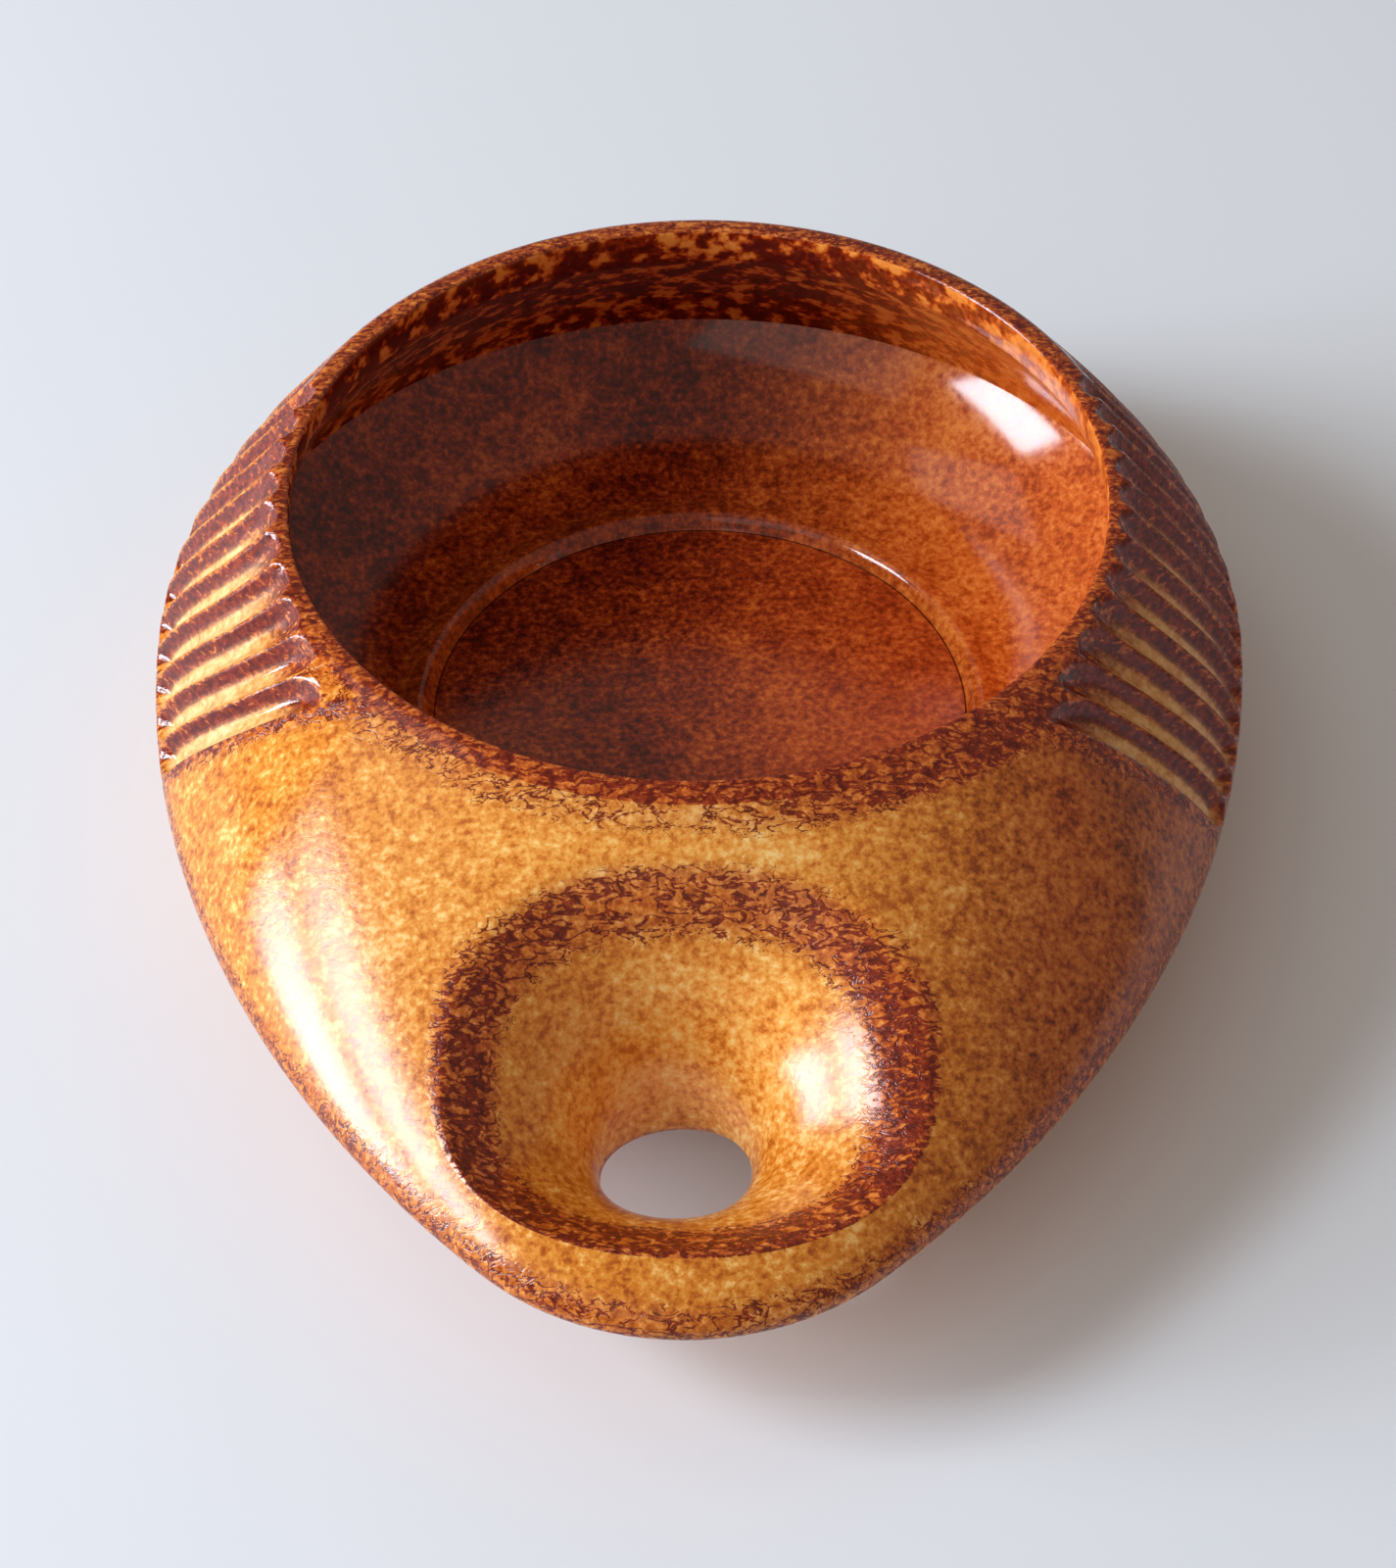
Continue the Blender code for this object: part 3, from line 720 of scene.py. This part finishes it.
def skin_net():
    """The whole glazed net, with the joints where each piece meets its neighbours."""
    skin = Skin()
    sides, cut, from_rim = fluted_sides()
    lay_shoulder(skin, sides, cut, from_rim)
    dish = dish_rows()
    lay_dish(skin, dish)
    roof_sides = lifted(line_plan(CEILING_RADIUS, BELT_WALL), ceiling)
    lay_ceiling(skin, roof_sides)
    sleeve = sleeve_rows()
    skin.grid("finger_funnel", sleeve, {"inside": 1.0})
    lay_inner_wall(skin)
    bead = turned_rows(BEAD, FULL_RING)
    # The raised ring is lighter all round, and painted light brightens it further to the right.
    skin.grid("lower_shell", bead, {"inside": 1.0, "warm_and_side_shading": np.maximum(0.2, inner_painted_light(bead))})
    lay_underside(skin)
    lip, lip_cut = fluted_lip(sides[:, 0])
    skin.grid("rim_lip", lip, lip_marks(lip, lip_cut))
    outer_belt = np.concatenate([sides[:, -1], on_belt(0.0)])
    inner_belt = np.concatenate([roof_sides[:, -1], on_belt(BELT_WALL)])
    for piece in ("upper_shell", "lower_shell"):
        skin.joint(piece, outer_belt, inner_belt)
    for piece in ("upper_shell", "rim_lip"):
        skin.joint(piece, lip[:, 0], lip[:, -1])
    for piece in ("upper_shell", "finger_funnel"):
        skin.joint(piece, dish[:, MOUTH_ROW], sleeve[:, 0])
    for piece in ("finger_funnel", "lower_shell"):
        skin.joint(piece, dish[:, -1], sleeve[:, -1])
    foot = turned_rows([(FOOT_RADIUS, FOOT_Z)], FULL_RING)[:, 0]
    skin.joint("lower_shell", bead[:, -1], foot)
    return skin


def on_belt(inset):
    """The belt's points round the lug, between the first flute lines."""
    angle = LUG_BELT[1:-1]
    plan = on_circle(angle, belt_reach(np.abs(angle)) - inset)
    return np.concatenate([plan, belt_height(np.abs(angle))[:, None]], 1)


def built_piece(name, skin):
    """A closed mesh with its marks as point attributes, and which of its faces are glazed."""
    points = np.concatenate(skin.points[name])
    marks = np.concatenate(skin.marks[name])
    quads = np.concatenate(skin.quads[name])
    shown = np.concatenate(skin.shown[name])
    keys, first, index = np.unique(
        np.round(points / WELD).astype(np.int64), axis=0, return_index=True, return_inverse=True
    )
    index = index.reshape(-1)
    merged = np.zeros((len(keys), len(MARKS)))
    np.maximum.at(merged, index, marks)
    mesh = bpy.data.meshes.new(name + "_skin")
    places = points[first] + np.array([0, BOWL_Y, 0])
    faces = [list(dict.fromkeys(quad)) for quad in index[quads].tolist()]
    kept = [i for i, face in enumerate(faces) if len(face) > 2]
    mesh.from_pydata(places.tolist(), [], [faces[i] for i in kept])
    for column, mark in enumerate(MARKS):
        attribute = mesh.attributes.new(mark, "FLOAT", "POINT")
        attribute.data.foreach_set("value", merged[:, column].astype(np.float32))
    glazed = mesh.attributes.new("glazed", "BOOLEAN", "FACE")
    glazed.data.foreach_set("value", shown[kept])
    work = bmesh.new()
    work.from_mesh(mesh)
    bmesh.ops.recalc_face_normals(work, faces=work.faces)
    work.to_mesh(mesh)
    work.free()
    return mesh


def face_data(mesh):
    """Normals, areas and glazed flags of the faces, the face and point of each corner, and the
    points' places."""
    faces = len(mesh.polygons)
    normals = np.empty(faces * 3)
    areas = np.empty(faces)
    totals = np.empty(faces, np.int32)
    corners = np.empty(len(mesh.loops), np.int32)
    glazed = np.empty(faces, bool)
    mesh.polygons.foreach_get("normal", normals)
    mesh.polygons.foreach_get("area", areas)
    mesh.polygons.foreach_get("loop_total", totals)
    mesh.loops.foreach_get("vertex_index", corners)
    mesh.attributes["glazed"].data.foreach_get("value", glazed)
    places = np.empty(len(mesh.vertices) * 3)
    mesh.vertices.foreach_get("co", places)
    owner = np.repeat(np.arange(faces), totals)
    return normals.reshape(-1, 3), areas, owner, corners, glazed, places.reshape(-1, 3)


def round_across_joints(meshes):
    """Gives each glazed corner the whole net's normal there, so no joint shows in the glaze."""
    parts = [face_data(mesh) for mesh in meshes]
    spots = np.concatenate([p[5][p[3]] for p in parts])
    spots = np.round(spots / (2 * WELD)).astype(np.int64)
    _, spot = np.unique(spots, axis=0, return_inverse=True)
    spot = spot.reshape(-1)
    weights = np.concatenate([(p[1] * p[4])[p[2]] for p in parts])
    normals = np.concatenate([p[0][p[2]] for p in parts])
    total = np.zeros((spot.max() + 1, 3))
    np.add.at(total, spot, normals * weights[:, None])
    glazed = np.concatenate([p[4][p[2]] for p in parts])
    size = np.linalg.norm(total[spot], axis=-1, keepdims=True)
    whole = total[spot] / np.maximum(size, 1e-30)
    rounded = np.where(glazed[:, None] & (size > 0), whole, normals)
    done = 0
    for mesh in meshes:
        mesh.shade_smooth()
        mesh.normals_split_custom_set(rounded[done : done + len(mesh.loops)].tolist())
        done += len(mesh.loops)


def show(name, mesh, material):
    """Puts the finished piece in the scene, in place of the CAD solid of this name."""
    piece = bpy.data.objects.new(name + "_glazed", mesh)
    bpy.context.scene.collection.objects.link(piece)
    mesh.materials.append(material)
    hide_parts(name)
    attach(piece, "root")


def turned_mesh(name, profile, pole=False):
    """A turned body. Its profile is a loop, or runs from pole to pole and is closed there."""
    lines = TURNED_LINES
    angles = np.linspace(0, 2 * math.pi, lines, endpoint=False)
    rows = turned_rows(profile, angles)
    rows[..., 1] += BOWL_Y
    count = len(profile)
    index = np.arange(lines * count).reshape(lines, count)
    following = np.roll(index, -1, 0)
    last = count - 1 if pole else count
    faces = []
    for row in range(last):
        below = (row + 1) % count
        for here, beside in zip(index, following):
            faces.append((here[row], here[below], beside[below], beside[row]))
    places = rows.reshape(-1, 3).tolist()
    if pole:
        for row, height in ((0, profile[0][1]), (count - 1, profile[-1][1])):
            centre = len(places)
            places.append((0.0, BOWL_Y, height))
            faces += [(centre, index[line, row], following[line, row]) for line in range(lines)]
    mesh = bpy.data.meshes.new(name + "_skin")
    mesh.from_pydata(places, [], faces)
    work = bmesh.new()
    work.from_mesh(mesh)
    bmesh.ops.recalc_face_normals(work, faces=work.faces)
    work.to_mesh(mesh)
    work.free()
    mesh.shade_smooth()
    mesh.set_sharp_from_angle(angle=math.radians(40))
    return mesh


# ---------------------------------------------------------------- materials


class Nodes:
    """A material's node tree, wired by short calls."""

    def __init__(self, name):
        self.material = bpy.data.materials.new(name)
        self.material.use_nodes = True
        self.tree = self.material.node_tree
        self.shader = self.tree.nodes["Principled BSDF"]

    def node(self, kind, inputs=None, **settings):
        node = self.tree.nodes.new(kind)
        for key, value in settings.items():
            setattr(node, key, value)
        for key, value in (inputs or {}).items():
            self.feed(node.inputs[key], value)
        return node

    def feed(self, socket, value):
        if hasattr(value, "is_output"):
            self.tree.links.new(value, socket)
        elif socket.type == "RGBA" and len(value) == 3:
            socket.default_value = (*value, 1.0)
        else:
            socket.default_value = value

    def math(self, operation, a, b=0.0, c=0.0, clamp=False):
        node = self.node("ShaderNodeMath", {0: a, 1: b, 2: c}, operation=operation, use_clamp=clamp)
        return node.outputs[0]

    def step(self, value, low, high, to_low=0.0, to_high=1.0):
        node = self.node(
            "ShaderNodeMapRange",
            {"Value": value, "From Min": low, "From Max": high, "To Min": to_low, "To Max": to_high},
            interpolation_type="SMOOTHSTEP",
        )
        return node.outputs[0]

    def blend(self, share, a, b):
        node = self.node("ShaderNodeMix", data_type="RGBA")
        self.feed(node.inputs[0], share)
        self.feed(node.inputs[6], a)
        self.feed(node.inputs[7], b)
        return node.outputs[2]

    def ramp(self, value, stops):
        node = self.node("ShaderNodeValToRGB", {"Fac": value})
        elements = node.color_ramp.elements
        while len(elements) < len(stops):
            elements.new(0.5)
        for element, (place, colour) in zip(elements, stops):
            element.position = place
            element.color = (*colour, 1.0)
        return node.outputs["Color"]

    def noise(self, at, scale, detail=3.0, roughness=0.55, distortion=0.0):
        inputs = {"Vector": at, "Scale": scale, "Detail": detail, "Roughness": roughness}
        node = self.node("ShaderNodeTexNoise", {**inputs, "Distortion": distortion})
        return node.outputs["Fac"]

    def mark(self, name):
        return self.node("ShaderNodeAttribute", attribute_name=name).outputs["Fac"]


def mottling(n, at):
    """Grain, blots and clouds of the glaze, and the tone that they make together."""
    speck = n.noise(at, 900, 5.0, 0.64)
    blot = n.noise(at, 210, 4.0, 0.6, 0.4)
    cloud = n.noise(at, 34, 3.0, 0.5)
    fine = n.math("MULTIPLY_ADD", blot, 0.30, n.math("MULTIPLY", cloud, 0.20))
    return speck, blot, cloud, n.math("MULTIPLY_ADD", speck, 0.60, fine)


def srgb(r, g, b):
    """Linear colour from the usual 0 to 255 values."""
    out = []
    for value in (r, g, b):
        value /= 255
        out.append(value / 12.92 if value < 0.04045 else ((value + 0.055) / 1.055) ** 2.4)
    return tuple(out)


def stops(*rows):
    """Stops of a colour ramp, from rows of place, red, green and blue."""
    return [(place, srgb(r, g, b)) for place, r, g, b in rows]


# The glaze's colours, from the dark parts of its mottling to the light ones
GOLD = stops((0.44, 162, 74, 16), (0.53, 206, 118, 30), (0.60, 224, 146, 54), (0.68, 244, 192, 112))
# Painted light: paler gold for the lit top of the lug and the far wall of the dish.
PAINTED_LIGHT_GOLD = stops((0.44, 206, 112, 36), (0.53, 244, 160, 66), (0.62, 252, 194, 104), (0.70, 255, 222, 150))
# Redder, darker amber for the right side: part glaze colour, part painted shade.
RED_AND_SHADED_AMBER = stops((0.45, 92, 28, 8), (0.54, 158, 68, 16), (0.68, 200, 114, 44))
THIN_BASE = stops((0.40, 136, 40, 10), (0.53, 186, 82, 24), (0.66, 222, 128, 54))
WRINKLES = stops((0.40, 80, 8, 2), (0.54, 118, 24, 4), (0.68, 156, 50, 12))
CREAM = stops((0.42, 206, 132, 62), (0.56, 236, 180, 112), (0.72, 248, 210, 152))
UNDER_RIM = stops((0.46, 84, 12, 6), (0.52, 150, 44, 12), (0.57, 230, 120, 40), (0.62, 250, 160, 70))
INSIDE = stops((0.44, 70, 19, 13), (0.53, 122, 39, 18), (0.60, 164, 63, 22), (0.70, 206, 106, 40))
# Painted light: brighter orange for the right of the inside.
PAINTED_LIGHT_INSIDE = stops((0.44, 176, 70, 20), (0.53, 222, 104, 32), (0.66, 244, 150, 66))
# Painted light: brighter red for the right of the floor.
PAINTED_LIGHT_FLOOR = stops((0.44, 152, 52, 18), (0.53, 192, 78, 26), (0.66, 226, 118, 48))
BARE_CLAY = stops((0.35, 150, 118, 88), (0.50, 196, 166, 132), (0.66, 214, 190, 158))
TABLE = stops((0.30, 226, 230, 236), (0.70, 230, 233, 239))


def wrinkles(n, at, thin, blot):
    """How far each point is from a wrinkle's middle, and where the wrinkles are dark: short
    strokes that widen and join up where the glaze is thinnest."""
    squeezed = n.node("ShaderNodeVectorMath", {0: at, 1: (1.0, 2.0, 2.0)}, operation="MULTIPLY")
    wrinkle = n.noise(squeezed.outputs[0], 330, 3.0, 0.58, 0.5)
    apart = n.math("ABSOLUTE", n.math("SUBTRACT", wrinkle, 0.5))
    edge = n.math("MULTIPLY_ADD", n.math("SUBTRACT", blot, 0.5), 0.9, thin)
    reach = n.math("MULTIPLY_ADD", edge, 0.115, -0.026)
    return apart, n.step(n.math("SUBTRACT", reach, apart), -0.016, 0.006)


def outer_glaze(n, speck, cloud, tone, dark, thin, pool, warm_and_side_shading, pale):
    """Mottled gold, redder and darker to the right (part glaze colour, part painted shade), paler where
    light is painted on, with dark wrinkles on edges and on the flutes' back walls (part thin glaze, part
    painted shade) and cream in the flutes.
    """
    # Partly painted shade: redder, darker amber towards the right.
    patchy = n.math("MULTIPLY_ADD", n.math("SUBTRACT", cloud, 0.5), 0.9, warm_and_side_shading, clamp=True)
    colour = n.blend(patchy, n.ramp(tone, GOLD), n.ramp(tone, RED_AND_SHADED_AMBER))
    # Painted light: paler gold on the lug's top and the dish's far wall.
    colour = n.blend(pale, colour, n.ramp(tone, PAINTED_LIGHT_GOLD))
    colour = n.blend(n.step(thin, 0.10, 0.80, 0.0, 0.8), colour, n.ramp(speck, THIN_BASE))
    colour = n.blend(n.math("MULTIPLY", dark, 0.93), colour, n.ramp(speck, WRINKLES))
    return n.blend(n.math("MULTIPLY", pool, 0.92), colour, n.ramp(tone, CREAM))


def inner_glaze(n, at, speck, tone, thin, warm_and_side_shading):
    """Dark red, painted brighter and orange towards the right as painted light, with coarse blotches under
    the rim.
    """
    coarse = n.math("MULTIPLY", n.noise(at, 300, 2.0, 0.5), 0.75)
    patches = n.math("MULTIPLY_ADD", speck, 0.25, coarse)
    # Painted light: the blotches under the rim are painted brighter towards the right.
    patches = n.math("MULTIPLY_ADD", warm_and_side_shading, 0.08, patches)
    under_rim = n.math("MULTIPLY", thin, 0.85)
    colour = n.blend(under_rim, n.ramp(tone, INSIDE), n.ramp(patches, UNDER_RIM))
    # Painted light: the inside is painted brighter and more orange towards the right.
    return n.blend(n.math("MULTIPLY", warm_and_side_shading, 0.75), colour, n.ramp(tone, PAINTED_LIGHT_INSIDE))


def glaze():
    """Amber glaze: mottled gold where it lies thick, breaking to wrinkled red-brown on edges."""
    n = Nodes("amber_glaze")
    at = n.node("ShaderNodeTexCoord").outputs["Object"]
    thin, pool, inside, wet, warm_and_side_shading, pale = (n.mark(name) for name in MARKS)
    speck, blot, cloud, tone = mottling(n, at)
    apart, dark = wrinkles(n, at, thin, blot)
    outer = outer_glaze(n, speck, cloud, tone, dark, thin, pool, warm_and_side_shading, pale)
    inner = inner_glaze(n, at, speck, tone, thin, warm_and_side_shading)
    n.feed(n.shader.inputs["Base Color"], n.blend(inside, outer, inner))
    shine = n.math("MAXIMUM", wet, inside)
    rough = n.math("MULTIPLY_ADD", shine, -0.12, n.math("MULTIPLY_ADD", thin, -0.05, 0.22))
    rough = n.math("MULTIPLY_ADD", n.math("SUBTRACT", speck, 0.5), 0.15, rough, clamp=True)
    n.feed(n.shader.inputs["Roughness"], rough)
    relief = n.math("MULTIPLY_ADD", thin, 0.42, 0.04)
    raised = n.math("MULTIPLY", n.step(apart, 0.0, 0.07), relief)
    height = n.math("MULTIPLY_ADD", speck, 0.10, raised)
    height = n.math("MULTIPLY", height, n.math("MULTIPLY_ADD", shine, -0.88, 1.0))
    bump = n.node("ShaderNodeBump", {"Strength": 0.6, "Distance": 0.00022, "Height": height})
    n.feed(n.shader.inputs["Normal"], bump.outputs["Normal"])
    n.shader.inputs["IOR"].default_value = 1.48
    return n.material


def red_glaze():
    """The same glaze as it pools on the floor: redder and glossy, and painted warmer and brighter to the
    right as painted light, where the lamps reach the floor.
    """
    n = Nodes("red_brown_glaze")
    at = n.node("ShaderNodeTexCoord").outputs["Object"]
    speck, _, _, tone = mottling(n, at)
    across = n.node("ShaderNodeSeparateXYZ", {0: at}).outputs["X"]
    # Painted light: the floor is painted brighter towards the right.
    warm_and_side_shading = n.step(across, -0.012, 0.034, 0.0, 0.6)
    colour = n.blend(warm_and_side_shading, n.ramp(tone, INSIDE), n.ramp(tone, PAINTED_LIGHT_FLOOR))
    n.feed(n.shader.inputs["Base Color"], colour)
    n.feed(n.shader.inputs["Roughness"], n.math("MULTIPLY_ADD", speck, 0.25, 0.02))
    bump = n.node("ShaderNodeBump", {"Strength": 0.3, "Distance": 0.0001, "Height": speck})
    n.feed(n.shader.inputs["Normal"], bump.outputs["Normal"])
    n.shader.inputs["IOR"].default_value = 1.52
    return n.material


def clay():
    """Matte bare stoneware of the foot."""
    n = Nodes("bare_clay")
    at = n.node("ShaderNodeTexCoord").outputs["Object"]
    grain = n.noise(at, 1400, 4.0, 0.7)
    patch = n.noise(at, 90, 3.0)
    tone = n.math("MULTIPLY_ADD", grain, 0.6, n.math("MULTIPLY", patch, 0.4))
    n.feed(n.shader.inputs["Base Color"], n.ramp(tone, BARE_CLAY))
    n.shader.inputs["Roughness"].default_value = 0.88
    bump = n.node("ShaderNodeBump", {"Strength": 0.6, "Distance": 0.00015, "Height": grain})
    n.feed(n.shader.inputs["Normal"], bump.outputs["Normal"])
    return n.material


def table_top():
    """Plain pale table, faintly clouded."""
    n = Nodes("pale_table")
    at = n.node("ShaderNodeTexCoord").outputs["Object"]
    cloud = n.noise(at, 3.0, 2.0)
    n.feed(n.shader.inputs["Base Color"], n.ramp(cloud, TABLE))
    n.shader.inputs["Roughness"].default_value = 0.55
    return n.material


# ---------------------------------------------------------------- scene


# The camera looks down on the lug's side, from round the bowl's axis
CAMERA_ELEVATION = math.radians(45.708)
CAMERA_ROLL = math.radians(-0.536)
CAMERA_YAW = math.radians(1.5)
CAMERA_TARGET = Vector((-0.00044, -0.039078, 0.030))
CAMERA_DISTANCE = 0.600
CAMERA_LENS = 95.69

# Lights: azimuth and elevation in degrees, distance, width and height, power, colour
COOL = (0.80, 0.90, 1.0)
LIGHT_TARGET = Vector((0.0, 0.0, 0.02))
LIGHTS = {
    "window_top": (190, 38, 1.6, (0.56, 0.36), 16.0, COOL),
    "window": (185, 15, 1.6, (0.58, 0.60), 26.5, COOL),
    "ceiling": (158, 57, 1.6, (0.5, 0.5), 0.9, (1.0, 0.95, 0.92)),
    "room": (240, 48, 1.8, (1.2, 0.9), 2.0, (1.0, 0.95, 0.90)),
}
ROOM_COLOUR = (1.0, 0.86, 0.74, 1.0)
ROOM_STRENGTH = 0.33
TABLE_HALF_SIDE = 1.6


def place_camera():
    back = Vector((0, -math.cos(CAMERA_ELEVATION), math.sin(CAMERA_ELEVATION)))
    right = Vector((1, 0, 0))
    up = back.cross(right)
    tilted_right = math.cos(CAMERA_ROLL) * right + math.sin(CAMERA_ROLL) * up
    tilted_up = -math.sin(CAMERA_ROLL) * right + math.cos(CAMERA_ROLL) * up
    place = CAMERA_TARGET + CAMERA_DISTANCE * back
    turn = Matrix.Rotation(CAMERA_YAW, 3, "Z")
    axes = Matrix([turn @ tilted_right, turn @ tilted_up, turn @ back]).transposed()
    data = bpy.data.cameras.new("camera")
    data.sensor_width = 36.0
    data.lens = CAMERA_LENS
    camera = bpy.data.objects.new("camera", data)
    bpy.context.scene.collection.objects.link(camera)
    place = turn @ place + Vector((0, BOWL_Y, 0))
    camera.matrix_world = Matrix.Translation(place) @ axes.to_4x4()
    bpy.context.scene.camera = camera


def area_light(name, azimuth, elevation, distance, size, power, colour):
    """A rectangular light in a direction round the target, facing it."""
    a, e = math.radians(azimuth), math.radians(elevation)
    towards = Vector((math.cos(a) * math.cos(e), math.sin(a) * math.cos(e), math.sin(e)))
    data = bpy.data.lights.new(name, "AREA")
    data.shape = "RECTANGLE"
    data.size, data.size_y = size
    data.energy = power
    data.color = colour
    light = bpy.data.objects.new(name, data)
    bpy.context.scene.collection.objects.link(light)
    light.location = LIGHT_TARGET + towards * distance
    light.rotation_mode = "QUATERNION"
    light.rotation_quaternion = towards.to_track_quat("Z", "Y")


def light_scene():
    world = bpy.data.worlds.new("room")
    world.use_nodes = True
    background = world.node_tree.nodes["Background"]
    background.inputs["Color"].default_value = ROOM_COLOUR
    background.inputs["Strength"].default_value = ROOM_STRENGTH
    bpy.context.scene.world = world
    for name, settings in LIGHTS.items():
        area_light(name, *settings)
    bpy.context.scene.view_settings.view_transform = "Standard"


def lay_table(material):
    half = TABLE_HALF_SIDE
    corners = [(-half, -half, 0), (half, -half, 0), (half, half, 0), (-half, half, 0)]
    mesh = bpy.data.meshes.new("table")
    mesh.from_pydata(corners, [], [(0, 1, 2, 3)])
    table = bpy.data.objects.new("table", mesh)
    bpy.context.scene.collection.objects.link(table)
    mesh.materials.append(material)


def floor_disc_profile():
    """From the pole on top, out over the chamfered edge and back under the disc."""
    flat = np.linspace(DISC_FLAT_FROM, FLOOR_RADIUS - DISC_CHAMFER, 8)
    profile = [(DISC_CENTRE, FLOOR_Z)] + [(radius, FLOOR_Z) for radius in flat]
    profile += [(FLOOR_RADIUS, FLOOR_Z - DISC_CHAMFER), (FLOOR_RADIUS, FOOT_Z + DISC_SEAT_RISE)]
    return profile + [(DISC_UNDER_RADIUS, FOOT_Z), (DISC_CENTRE, FOOT_Z)]


def foot_ring_profile():
    """A square ring with both of its lower edges rounded."""
    inner, top = FOOT_RADIUS - FOOT_WIDTH, FOOT_HIGH[2] + FOOT_TOP_RISE
    profile = [(inner, top), (FOOT_RADIUS, top)]
    for a in np.linspace(0, math.pi / 2, EDGE_STEPS):
        radius = FOOT_RADIUS - FOOT_EDGE + FOOT_EDGE * math.cos(a)
        profile.append((radius, FOOT_EDGE - FOOT_EDGE * math.sin(a)))
    for a in np.linspace(0, math.pi / 2, EDGE_STEPS):
        radius = inner + FOOT_EDGE - FOOT_EDGE * math.sin(a)
        profile.append((radius, FOOT_EDGE - FOOT_EDGE * math.cos(a)))
    return profile


def main():
    skin = skin_net()
    meshes = {name: built_piece(name, skin) for name in PIECES}
    round_across_joints(list(meshes.values()))
    amber, red, bare = glaze(), red_glaze(), clay()
    for name, mesh in meshes.items():
        show(name, mesh, amber)
    disc = turned_mesh("floor_disc", floor_disc_profile(), pole=True)
    show("floor_disc", disc, red)
    foot = turned_mesh("foot_ring", foot_ring_profile())
    show("foot_ring", foot, bare)
    lay_table(table_top())
    place_camera()
    light_scene()


main()
